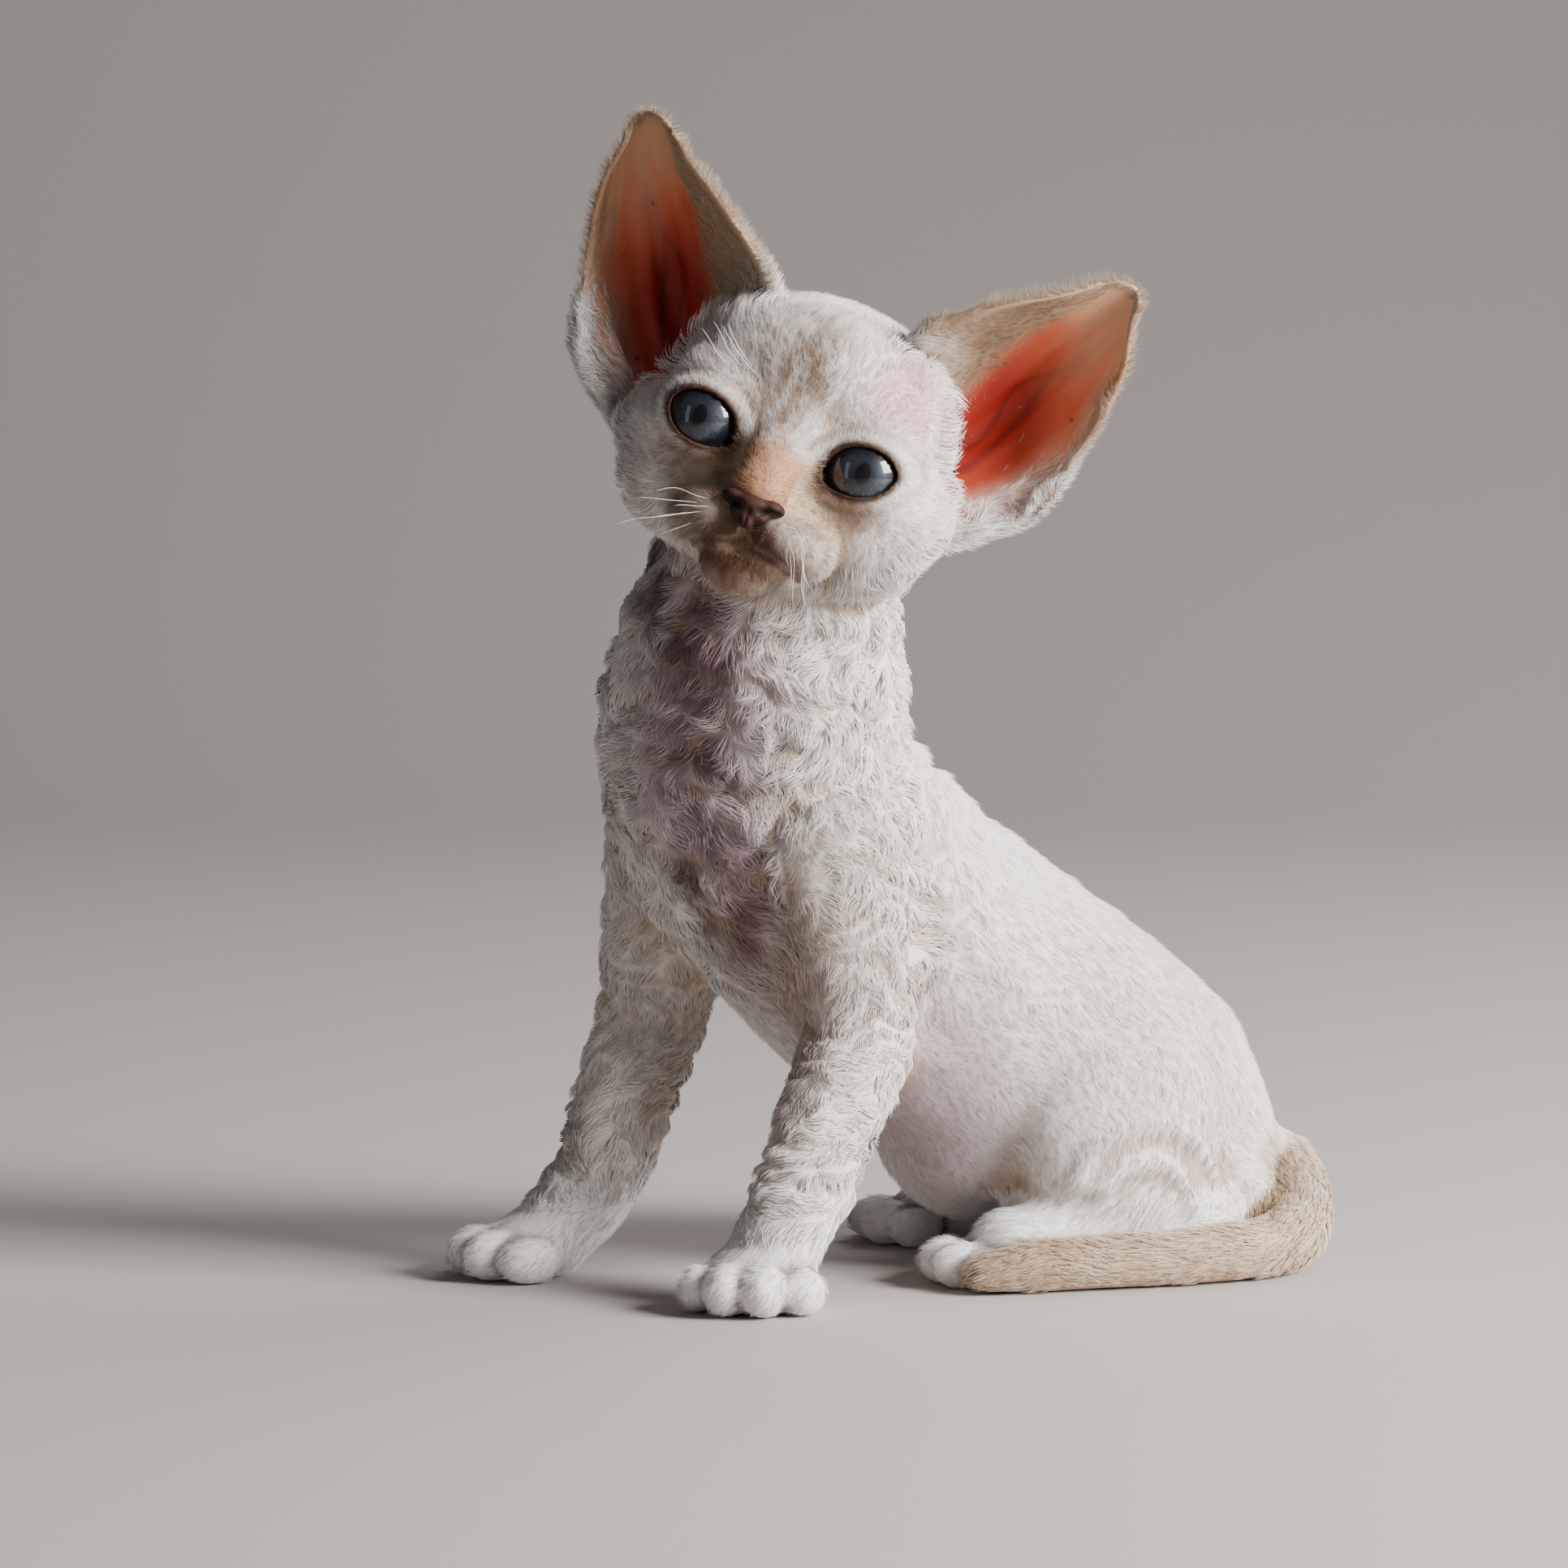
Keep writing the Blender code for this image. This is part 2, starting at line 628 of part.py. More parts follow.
def foreleg_region(name, leg, cutters):
    shoulder, elbow, wrist, paw = leg
    bm = bmesh.new()
    side = heading_axes(FRONT_HEADING).col[0]
    upper_arm = shoulder.lerp(elbow, 0.5)
    line = [(shoulder, 16, 18), (upper_arm, 15.5, 17.5), (elbow, 14.5, 15), (wrist, 15, 15), (paw[0], 17, 17)]
    limb(bm, [(place, w * MM, d * MM) for place, w, d in line], side, 4)
    blob(bm, paw[0], (22 * MM, 22 * MM, 14 * MM))
    return decimated(fused(name, bm, 2.2 * MM, 6, cutters), REGION_TRIANGLES)


def hindleg_region(name, leg, cutters):
    hip, knee, heel, toes = leg
    bm = bmesh.new()
    turn = thigh_turn(hip, knee)
    blob(bm, hip.lerp(knee, 0.42), tuple(r + 4 * MM for r in THIGH_RADII), turn)
    blob(bm, hip.lerp(knee, 0.9), (15 * MM, 16 * MM, 18 * MM), turn)
    side = heading_axes(REAR_HEADING).col[0]
    limb(bm, [(knee, 14 * MM, 16 * MM), (heel, 12 * MM, 12 * MM)], side, 4)
    middle = heel.lerp(toes, 0.5)
    limb(bm, [(heel, 12 * MM, 12 * MM), (middle, 10.5 * MM, 10.5 * MM), (toes, 14 * MM, 14 * MM)], side, 4)
    return decimated(fused(name, bm, 2.2 * MM, 6, cutters), REGION_TRIANGLES)


def part_off(rest, region, name, collection, cutters):
    """Takes what lies in the region off rest, as a node, and leaves a gap between the two."""
    node = copy_of(rest, name, collection)
    wider = grown(region, f"{name}_wider", GAP, cutters)
    boolean(node, region, "INTERSECT")
    boolean(rest, wider, "DIFFERENCE")
    largest_body(rest)
    return largest_body(node)


def finish(obj, colour, roughness):
    material = bpy.data.materials.new(obj.name)
    material.use_nodes = True
    shader = material.node_tree.nodes["Principled BSDF"]
    shader.inputs["Base Color"].default_value = (*colour, 1.0)
    shader.inputs["Roughness"].default_value = roughness
    obj.data.materials.clear()
    obj.data.materials.append(material)
    obj.data.shade_smooth()
    obj.data.set_sharp_from_angle(angle=math.radians(50))


def centre_on_base(nodes):
    """Moves every node so that the origin is at the middle of the base."""
    corners = [Vector(v.co) for obj in nodes for v in obj.data.vertices]
    low = Vector(min(c[k] for c in corners) for k in range(3))
    high = Vector(max(c[k] for c in corners) for k in range(3))
    shift = Vector((-(low.x + high.x) / 2, -(low.y + high.y) / 2, -low.z))
    for obj in nodes:
        obj.data.transform(Matrix.Translation(shift))


def main():
    clear_scene()
    kitten = new_collection("devon_rex_kitten", True)
    cutters = new_collection("cutters", False)

    whole = whole_body(cutters)
    chin, nape = in_head(0, 6, -27.5), in_head(0, 52, -15)
    down = (nape - chin).cross(head_axes().col[0]).normalized()
    if down.z > 0:
        down = -down
    head = halved(whole, chin - down * GAP / 2, down, "head", kitten)
    body = halved(whole, chin + down * GAP / 2, -down, "torso", kitten)
    decimated(head, HEAD_TRIANGLES)
    decimated(curled(decimated(body, BODY_TRIANGLES)), CURLED_TRIANGLES)
    head_room = grown(head, "head_room", GAP, cutters)
    boolean(body, head_room, "DIFFERENCE")
    soles = box("soles", mm(-300, -300, -60), mm(300, 300, 0), Matrix.Identity(3), mm(0, 0, 0), cutters)
    boolean(body, soles, "DIFFERENCE")

    far = 150
    neck_turn = heading_axes(FRONT_HEADING) @ Matrix.Rotation(math.radians(14), 3, "X")
    low, high = mm(-far, -far, 0), mm(far, far, far)
    neck_region = box("neck_region", low, high, neck_turn, mm(-4, 39, 107), cutters)
    neck = part_off(body, neck_region, "neck", kitten, cutters)
    legs = []
    for name, leg in (("foreleg_left", LEFT_FORE), ("foreleg_right", RIGHT_FORE)):
        region = foreleg_region(name + "_region", leg, cutters)
        legs.append(part_off(body, region, name, kitten, cutters))
    for name, leg in (("hindleg_left", LEFT_HIND), ("hindleg_right", RIGHT_HIND)):
        region = hindleg_region(name + "_region", leg, cutters)
        legs.append(part_off(body, region, name, kitten, cutters))

    bm = bmesh.new()
    tail_blobs(bm)
    tail = decimated(fused("tail", bm, 1.1 * MM, 4, kitten), TAIL_TRIANGLES)
    boolean(tail, soles, "DIFFERENCE")
    for other in (body, *legs[2:]):
        boolean(tail, grown(other, other.name + "_grown", GAP, cutters), "DIFFERENCE")
    largest_body(tail)

    ears = []
    head_grown = grown(head, "head_grown", GAP, cutters)
    neck_grown = grown(neck, "neck_grown", GAP, cutters)
    for side, name in ((1, "ear_left"), (-1, "ear_right")):
        ear = ear_sheet(side, name, kitten)
        boolean(ear, head_grown, "DIFFERENCE")
        boolean(ear, neck_grown, "DIFFERENCE")
        ears.append(largest_body(ear))

    eyes = []
    lip_lines = [wire(f"mouth{side}", mouth_points(side, head), 0.6 * MM, cutters) for side in (-1, 1)]
    for side, name in ((1, "eye_left"), (-1, "eye_right")):
        eyes.append(sphere(name, eye_centre(side), EYE_RADIUS, kitten))
        socket = sphere(name + "_socket", eye_centre(side), EYE_RADIUS + GAP * 1.2, cutters)
        boolean(head, socket, "DIFFERENCE")
        boolean(head, eye_opening(side, cutters), "DIFFERENCE")
        boolean(head, concha(side, cutters), "DIFFERENCE")
    for line in lip_lines:
        boolean(head, line, "DIFFERENCE")
    nose = nose_blob("nose", kitten)
    boolean(head, grown(nose, "nose_grown", GAP, cutters), "DIFFERENCE")
    for side in (-1, 1):
        path = [(2.6, -14.5, -11.4), (3.4, -10.5, -11.2), (5.4, -9.4, -10.6)]
        points = [in_head(side * x, y, z) for x, y, z in path]
        boolean(nose, wire(f"nostril{side}", points, 1.0 * MM, cutters), "DIFFERENCE")
    largest_body(nose)
    largest_body(head)

    nodes = [head, neck, body, *legs, tail, *ears, *eyes, nose]
    centre_on_base(nodes)
    for obj in nodes:
        colour = COLOURS.get(obj.name.split("_")[0], CREAM)
        finish(obj, colour, 0.15 if obj.name.startswith("eye") else 0.7)
    for obj in list(cutters.objects):
        bpy.data.objects.remove(obj)
    counts = {obj.name: sum(len(face.vertices) - 2 for face in obj.data.polygons) for obj in nodes}
    print("triangles", sum(counts.values()), counts)


main()
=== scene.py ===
# Devon rex kitten, sitting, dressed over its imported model: skin, ears, eyes, nose, whiskers and a coat of
# solid tufts. Lengths in the lists are millimetres, in the kitten's own axes before its base is centred.
import math

import bmesh
import bpy
import numpy as np
from mathutils import Matrix, Vector
from mathutils.bvhtree import BVHTree
from mathutils.kdtree import KDTree


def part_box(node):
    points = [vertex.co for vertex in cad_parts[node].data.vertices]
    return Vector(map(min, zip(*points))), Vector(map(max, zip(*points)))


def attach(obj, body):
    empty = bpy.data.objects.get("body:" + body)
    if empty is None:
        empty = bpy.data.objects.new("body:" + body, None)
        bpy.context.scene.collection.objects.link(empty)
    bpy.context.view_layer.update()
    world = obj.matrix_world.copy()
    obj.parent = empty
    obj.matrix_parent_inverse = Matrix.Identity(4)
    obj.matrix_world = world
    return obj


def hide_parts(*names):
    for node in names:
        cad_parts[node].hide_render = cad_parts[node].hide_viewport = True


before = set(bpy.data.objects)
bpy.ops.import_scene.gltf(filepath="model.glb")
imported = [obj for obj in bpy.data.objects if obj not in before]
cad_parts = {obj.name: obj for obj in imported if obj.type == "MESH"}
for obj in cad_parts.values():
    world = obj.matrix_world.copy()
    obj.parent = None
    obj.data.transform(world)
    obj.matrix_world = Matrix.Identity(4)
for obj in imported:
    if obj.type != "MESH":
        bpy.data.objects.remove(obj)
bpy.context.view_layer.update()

mm = 0.001
# The head's angles are degrees. Each zone says how far past the eyeball the lids or their dark rim reach.
headPose = {"place": (-0.7, 0.0, 154.6), "roll": 19.0, "yaw": -8.0, "pitch": -2.0}
eyes = {
    "spacing": 30.0, "radius": 8.2, "forward": 7.2, "height": 0.1, "slant": 12.0,
    "inner": 7.0, "outer": 6.5, "top": 4.9, "bottom": 4.35, "lid": 0.5, "rimZone": 4.0, "lidZone": 6.0,
}

rollTurn = Matrix.Rotation(math.radians(headPose["roll"]), 3, "Y")
yawTurn = Matrix.Rotation(math.radians(headPose["yaw"]), 3, "Z")
pitchTurn = Matrix.Rotation(math.radians(headPose["pitch"]), 3, "X")
headTurn = rollTurn @ yawTurn @ pitchTurn

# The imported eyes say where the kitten's own axes lie in the frame.
eyeMiddle = sum((sum(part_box(name), Vector()) for name in ("eye_left", "eye_right")), Vector()) / 4
headStart = Vector(headPose["place"]) * mm
bodyShift = eyeMiddle - (headStart + headTurn @ Vector((0, eyes["forward"], eyes["height"])) * mm)
bodyShift.z = 0.0
headMatrix = Matrix.Translation(headStart + bodyShift) @ headTurn.to_4x4()
headArray = np.array(headTurn)
headOrigin = np.array(headStart + bodyShift)
shiftArray = np.array(bodyShift)


def place(x, y, z):
    return Vector((x, y, z)) * mm + bodyShift


def inHead(x, y, z):
    return headMatrix @ (Vector((x, y, z)) * mm)


def ownAxes(points):
    return (points - shiftArray) / mm


def headAxes(points):
    return (points - headOrigin) @ headArray / mm


def newObject(name, mesh):
    obj = bpy.data.objects.new(name, mesh)
    bpy.context.scene.collection.objects.link(obj)
    return obj


def meshFrom(bm, name):
    bmesh.ops.recalc_face_normals(bm, faces=bm.faces)
    mesh = bpy.data.meshes.new(name)
    bm.to_mesh(mesh)
    bm.free()
    return mesh


def frozen(obj):
    bpy.context.view_layer.update()
    mesh = bpy.data.meshes.new_from_object(obj.evaluated_get(bpy.context.evaluated_depsgraph_get()))
    obj.modifiers.clear()
    obj.data = mesh
    return obj


def fused(name, bm, voxel, passes):
    obj = newObject(name, meshFrom(bm, name))
    fuse = obj.modifiers.new("fuse", "REMESH")
    fuse.mode = "VOXEL"
    fuse.voxel_size = voxel * mm
    relax = obj.modifiers.new("relax", "SMOOTH")
    relax.factor = 0.5
    relax.iterations = passes
    return frozen(obj)


def getPoints(mesh):
    out = np.empty(len(mesh.vertices) * 3)
    mesh.vertices.foreach_get("co", out)
    return out.reshape(-1, 3)


def setPoints(mesh, points):
    mesh.vertices.foreach_set("co", np.ascontiguousarray(points, dtype=np.float32).ravel())
    mesh.update()


def getNormals(mesh):
    out = np.empty(len(mesh.vertices) * 3)
    mesh.vertex_normals.foreach_get("vector", out)
    return out.reshape(-1, 3)


def readFloat(mesh, name):
    out = np.empty(len(mesh.vertices))
    mesh.attributes[name].data.foreach_get("value", out)
    return out


def triangleCount(mesh):
    return sum(len(f.vertices) - 2 for f in mesh.polygons)


def unit(vectors):
    return vectors / np.maximum(np.linalg.norm(vectors, axis=-1, keepdims=True), 1e-9)


def ramp(value, low, high):
    t = np.clip((value - low) / (high - low), 0, 1)
    return t * t * (3 - 2 * t)


def mound(points, centre, radii):
    away = np.linalg.norm((points - np.array(centre)) / np.array(radii), axis=1)
    return 1 - ramp(away, 0.35, 1.0)


# Layers of random values on a lattice, read as soft clouds by place.
noise = {"seed": 5, "layers": 6, "cells": 24}
lattices = np.random.default_rng(noise["seed"]).random((noise["layers"],) + (noise["cells"],) * 3)


def cloud(points, size, which=0):
    scaled = points / size
    base = np.floor(scaled).astype(int)
    part = scaled - base
    part = part * part * (3 - 2 * part)
    total = np.zeros(len(points))
    for dx in (0, 1):
        for dy in (0, 1):
            for dz in (0, 1):
                corner = (base + (dx, dy, dz)) % noise["cells"]
                share = np.abs(1 - dx - part[:, 0]) * np.abs(1 - dy - part[:, 1])
                share = share * np.abs(1 - dz - part[:, 2])
                total += share * lattices[which, corner[:, 0], corner[:, 1], corner[:, 2]]
    return total * 2 - 1


# Forms: runs of ellipsoids, fused and smoothed.


def blob(bm, centre, radii, turn=None):
    spot = Matrix.Translation(centre) @ (turn.to_4x4() if turn else Matrix.Identity(4))
    size = Matrix.Diagonal((radii[0] * mm, radii[1] * mm, radii[2] * mm, 1.0))
    bmesh.ops.create_icosphere(bm, subdivisions=3, radius=1.0, matrix=spot @ size)


def curveThrough(points, t):
    last = len(points) - 1
    i = min(int(t), last - 1)
    f = t - i
    p0, p1 = points[max(i - 1, 0)], points[i]
    p2, p3 = points[i + 1], points[min(i + 2, last)]
    return 0.5 * (
        2 * p1 + (p2 - p0) * f + (2 * p0 - 5 * p1 + 4 * p2 - p3) * f * f + (3 * p1 - p0 - 3 * p2 + p3) * f**3
    )


def spotsAlong(line, steps=6):
    points = [Vector(p) for p in line]
    return np.array([curveThrough(points, k / steps) for k in range(steps * (len(points) - 1) + 1)])


def limb(bm, stations, side, steps=5):
    centres = [s[0] for s in stations]
    sizes = [Vector((s[1], s[2], 0.0)) for s in stations]
    for k in range((len(stations) - 1) * steps + 1):
        t = k / steps
        centre, size = curveThrough(centres, t), curveThrough(sizes, t)
        later, sooner = min(t + 0.05, len(stations) - 1), max(t - 0.05, 0)
        ahead = (curveThrough(centres, later) - curveThrough(centres, sooner)).normalized()
        across = (side - ahead * side.dot(ahead)).normalized()
        turn = Matrix((across, ahead.cross(across), ahead)).transposed()
        blob(bm, centre, (size.x, size.y, min(size.x, size.y)), turn)


def headingAxes(degrees):
    a = math.radians(degrees)
    ahead = Vector((-math.sin(a), -math.cos(a), 0.0))
    left = Vector((math.cos(a), -math.sin(a), 0.0))
    return Matrix((left, -ahead, Vector((0, 0, 1)))).transposed()


# The body: spine (place, half width, half depth), limbs from joint to joint, toes (across, ahead, radius).
bodyForm = {
    "chestHeading": 58.0, "frontHeading": 50.0, "rearHeading": 70.0, "curlRise": 1.5, "legCurlRise": 0.9,
    "spine": [
        (1.5, 30, 141, 19, 19.5), (-2.2, 34, 126, 24, 24.5), (-4.8, 40, 110, 28, 28.5),
        (-4.8, 46, 94, 28.5, 31), (3, 50, 79, 27, 31), (15, 55, 65, 27, 32), (31, 60, 51, 27.5, 33),
        (47, 64, 39, 27, 33), (63, 68, 29, 25, 30), (75, 72, 20, 19, 22),
    ],
    "belly": ((35, 61, 28), (20, 20, 20.5)),
    "tailRoot": ((86, 62, 12), (7, 9, 9)),
    "nape": ((-2.5, 42.5, 140), (21, 14.5, 17)),
    "forelegRadius": 10.9,
    "hindfootRadius": 7.6,
    "thigh": (12.5, 21, 23),
    "toes": [(-9.4, 6.0, 4.3), (-3.3, 9.6, 4.8), (3.5, 9.4, 4.8), (9.6, 5.4, 4.3)],
    "toeSink": 0.8,
}
foreLegs = {
    "left": ((9, 29, 84), (15, 34, 49), (2, 13, 17), (-4.5, 8.5, 5.8), 14.0),
    "right": ((-19, 60, 84), (-24, 61, 48), (-35, 52, 16), (-46, 47, 5.6), 64.0),
}
hindLegs = {
    "left": ((69, 54, 34), (54, 43.5, 21), (78, 52, 6.6), (32, 34.5, 6.6)),
    "right": ((60, 84, 34), (41, 90, 21), (66, 100, 6.6), (20, 87, 6.6)),
}
tail = {
    "radius": 5.6,
    "line": [
        (78, 76, 22, 1.4), (87, 76, 20, 1.35), (94, 69, 15.5, 1.28), (95.6, 58, 9.5, 1.2),
        (91.5, 48, 6.0, 1.12), (82, 40, 5.2, 1.05), (69.5, 34.5, 4.9, 1.0), (56.5, 30.5, 4.7, 0.96),
        (45.5, 26.8, 4.4, 0.9), (37, 24, 3.6, 0.66),
    ],
}
folds = [
    [(53.5, 19), (56, 25), (62.5, 28.5), (70, 28.5), (76.5, 24), (80, 16)],
    [(58, 17.5), (62.5, 21.5), (68.5, 21.8), (73, 18), (75, 12.5)],
]


def eyeCentre(side):
    return inHead(side * eyes["spacing"] / 2, eyes["forward"], eyes["height"])


def headBase(bm):
    blob(bm, inHead(0, 31, 6.2), (28, 28.5, 23), headTurn)
    blob(bm, inHead(0, 16, 12), (21.5, 14.5, 14.5), headTurn)
    blob(bm, inHead(0, 6.5, 0), (10, 8.5, 10), headTurn)
    blob(bm, inHead(0, 4.5, -12.5), (13, 10, 9), headTurn)
    blob(bm, inHead(0, 13, -16.5), (15.5, 15, 10), headTurn)
    for side in (-1, 1):
        blob(bm, inHead(side * 13.5, 9, 7.5), (10.5, 7.5, 6.5), headTurn)
        blob(bm, inHead(side * 20.5, 19, -4), (11, 15, 10.5), headTurn)
        blob(bm, inHead(side * 16, 17, -10.5), (12.5, 14, 11), headTurn)
        blob(bm, eyeCentre(side), (eyes["radius"] + 1.6,) * 3, headTurn)


def headDetails(bm):
    for side in (-1, 1):
        blob(bm, eyeCentre(side), (eyes["radius"] + 1.5,) * 3, headTurn)
        blob(bm, inHead(side * 6.2, -3.4, -15.4), (7.28, 7.0, 5.7), headTurn)
        blob(bm, inHead(side * 9.6, 1.0, -16.4), (6.6, 8, 5.6), headTurn)
    blob(bm, inHead(0, -1.4, -22.6), (7.4, 7.0, 5.0), headTurn)
    bridge = [
        (inHead(0, 3.2, 1), 6.2, 5.6), (inHead(0, -2.0, -3.8), 5.6, 5.0), (inHead(0, -6.6, -8.4), 5.4, 4.6),
    ]
    limb(bm, bridge, headTurn.col[0], 4)


def torsoBlobs(bm):
    side = headingAxes(bodyForm["chestHeading"]).col[0]
    rise = bodyForm["curlRise"]
    limb(bm, [(place(x, y, z), w - rise, d - rise) for x, y, z, w, d in bodyForm["spine"]], side, 4)
    blob(bm, place(*bodyForm["belly"][0]), bodyForm["belly"][1])
    blob(bm, place(*bodyForm["tailRoot"][0]), bodyForm["tailRoot"][1])
    blob(bm, place(*bodyForm["nape"][0]), bodyForm["nape"][1])


def forelegBlobs(bm, shoulder, elbow, wrist, paw, heading):
    r = bodyForm["forelegRadius"] - bodyForm["legCurlRise"]
    side = headingAxes(bodyForm["frontHeading"]).col[0]
    shoulder, elbow, wrist, paw = place(*shoulder), place(*elbow), place(*wrist), place(*paw)
    upper = [
        (shoulder, r * 1.2, r * 1.5), (shoulder.lerp(elbow, 0.5), r * 1.12, r * 1.35), (elbow, r, r * 1.1),
    ]
    limb(bm, upper, side)
    lower = [
        (elbow, r, r * 1.08), (elbow.lerp(wrist, 0.5), r * 0.97, r),
        (wrist, r * 0.9, r * 0.92), (wrist.lerp(paw, 0.6), r * 0.92, r * 0.84),
    ]
    limb(bm, lower, side)
    blob(bm, paw, (11, 10.5, 7.4), headingAxes(heading))


def hindlegBlobs(bm, hip, knee, heel, toes):
    side = headingAxes(bodyForm["rearHeading"]).col[0]
    hip, knee, heel, toes = place(*hip), place(*knee), place(*heel), place(*toes)
    ahead = (knee - hip).normalized()
    across = (side - ahead * side.dot(ahead)).normalized()
    thighTurn = Matrix((across, ahead.cross(across), ahead)).transposed()
    blob(bm, hip.lerp(knee, 0.42), bodyForm["thigh"], thighTurn)
    limb(bm, [(knee, 10.5, 11.5), (knee.lerp(heel, 0.5), 9, 10.5), (heel, 7, 7)], side)
    r = bodyForm["hindfootRadius"]
    foot = [
        (heel, r, r), (heel.lerp(toes, 0.5), r * 1.05, r * 1.05), (heel.lerp(toes, 0.8), r * 1.25, r * 1.1),
    ]
    limb(bm, foot, side)


def toeBlobs(bm, centre, heading, size):
    turn = headingAxes(heading)
    side, back = turn.col[0], turn.col[1]
    for across, ahead, radius in bodyForm["toes"]:
        spot = centre + side * across * mm * size - back * ahead * mm * size
        spot.z = (radius * 1.15 * size - bodyForm["toeSink"]) * mm
        blob(bm, spot, (radius * size, radius * 1.45 * size, radius * 1.15 * size), turn)


def hindFoot(leg):
    heel, toes = place(*leg[2]), place(*leg[3])
    away = toes - heel
    return heel.lerp(toes, 0.84), math.degrees(math.atan2(-away.x, -away.y))


# The skin: how finely it is fused, the depth of coat that it leaves free, its lips, lid folds and ear cups.
skinForm = {
    "softVoxel": 1.6, "softPasses": 14, "voxel": 0.75, "passes": 10, "triangles": 192000,
    "coatDepth": {"body": 1.0, "head": 0.55, "tail": 0.9, "curls": 0.55, "foot": 0.5},
    "mouthDepth": 0.75, "mouthWidth": 0.9,
    "mouth": [(0, -15.5), (0.2, -17.5), (2.4, -18.7), (5.4, -19.3), (8.2, -20.3), (10.4, -21.6)],
    "foldAt": 1.62, "foldWidth": 0.11, "foldDepth": 0.36,
    "swellInside": 0.26, "swellWidth": 0.12, "swell": 0.55,
    "concha": ((26.5, 26.2, 9.0), (7.0, 6.0, 10.5)),
    "haunchFold": (1.35, 2.4), "hollowPasses": 12, "floor": 0.3,
}


def treeOf(mesh):
    bm = bmesh.new()
    bm.from_mesh(mesh)
    tree = BVHTree.FromBMesh(bm)
    bm.free()
    return tree


def makeFlesh():
    bm = bmesh.new()
    torsoBlobs(bm)
    headBase(bm)
    for leg in foreLegs.values():
        forelegBlobs(bm, *leg)
    for leg in hindLegs.values():
        hindlegBlobs(bm, *leg)
    soft = fused("softForm", bm, skinForm["softVoxel"], skinForm["softPasses"])
    bm = bmesh.new()
    bm.from_mesh(soft.data)
    headDetails(bm)
    for leg in foreLegs.values():
        toeBlobs(bm, place(*leg[3]), leg[4], 1.0)
    for leg in hindLegs.values():
        toeBlobs(bm, *hindFoot(leg), 0.92)
    tree = treeOf(soft.data)
    for fold in folds:
        spots = [tree.ray_cast(place(x, -50, z), Vector((0, 1, 0)))[0] for x, z in fold]
        limb(bm, [(spot, *skinForm["haunchFold"]) for spot in spots], Vector((0, 1, 0)), 4)
    tailLine = [(place(x, y, z), tail["radius"] * r, tail["radius"] * r) for x, y, z, r in tail["line"]]
    limb(bm, tailLine, Vector((0, 0, 1)), 5)
    bpy.data.objects.remove(soft)
    return fused("skin", bm, skinForm["voxel"], skinForm["passes"])


def chainFrom(points, radii):
    return [(np.array(a), np.array(b), ra, rb) for a, b, ra, rb in zip(points, points[1:], radii, radii[1:])]


# Chains of straight lengths down the body: which zone a place belongs to, and which way its fur lies.
headFront, headBack = (tuple((v - bodyShift) / mm) for v in (inHead(0, 6, -6), inHead(0, 42, 2)))
chains = {
    "head": chainFrom([headFront, headBack], [20, 27]),
    "torso": chainFrom([s[:3] for s in bodyForm["spine"]], [0.5 * (s[3] + s[4]) for s in bodyForm["spine"]]),
    "tail": chainFrom([s[:3] for s in tail["line"]], [tail["radius"] * s[3] for s in tail["line"]]),
}
for name, leg in foreLegs.items():
    chains["fore_" + name] = chainFrom(leg[:4], [14, 11, 9.5, 9])
for name, (hip, knee, heel, toes) in hindLegs.items():
    chains["thigh_" + name] = chainFrom([hip, (Vector(knee).lerp(Vector(heel), 0.35))[:]], [19, 14])
    chains["foot_" + name] = chainFrom([heel, toes], [8, 8.5])
zoneNames = list(chains)


def readZones(own):
    count = len(own)
    nearest = np.full(count, 1e9)
    zone = np.zeros(count, int)
    along = np.zeros(count)
    flow = np.zeros((count, 3))
    spin = np.zeros(count)
    for number, name in enumerate(zoneNames):
        total = len(chains[name])
        for step, (a, b, ra, rb) in enumerate(chains[name]):
            way = b - a
            t = np.clip((own - a) @ way / (way @ way), 0, 1)
            centre = a + t[:, None] * way
            away = own - centre
            distance = np.linalg.norm(away, axis=1) - (ra + (rb - ra) * t)
            weight = np.exp(-np.maximum(distance + 4, 0) / 3.0)
            flow += weight[:, None] * way / np.linalg.norm(way)
            closer = distance < nearest
            nearest[closer] = distance[closer]
            zone[closer] = number
            along[closer] = ((step + t) / total)[closer]
            ahead = way / np.linalg.norm(way)
            across = np.cross(ahead, (0.0, 0.3, 1.0) if abs(ahead[2]) < 0.8 else (0.2, 1.0, 0.0))
            across /= np.linalg.norm(across)
            upward = np.cross(across, ahead)
            spin[closer] = (np.arctan2(away @ upward, away @ across) / (2 * math.pi) + 0.5)[closer]
    return zone, along, spin, unit(flow)


# Outline of the opening between the lids, in the eye's own slanted axes.


def eyeAxes(points, side):
    own = headAxes(points)
    x = own[:, 0] * side - eyes["spacing"] / 2
    z = own[:, 2] - eyes["height"]
    y = own[:, 1] - eyes["forward"]
    c, s = math.cos(math.radians(eyes["slant"])), math.sin(math.radians(eyes["slant"]))
    return np.stack([x * c + z * s, y, -x * s + z * c], axis=1)


def fromEyeAxes(local, side):
    c, s = math.cos(math.radians(eyes["slant"])), math.sin(math.radians(eyes["slant"]))
    x = local[:, 0] * c - local[:, 2] * s + eyes["spacing"] / 2
    z = local[:, 0] * s + local[:, 2] * c + eyes["height"]
    own = np.stack([x * side, local[:, 1] + eyes["forward"], z], axis=1)
    return own * mm @ headArray.T + headOrigin


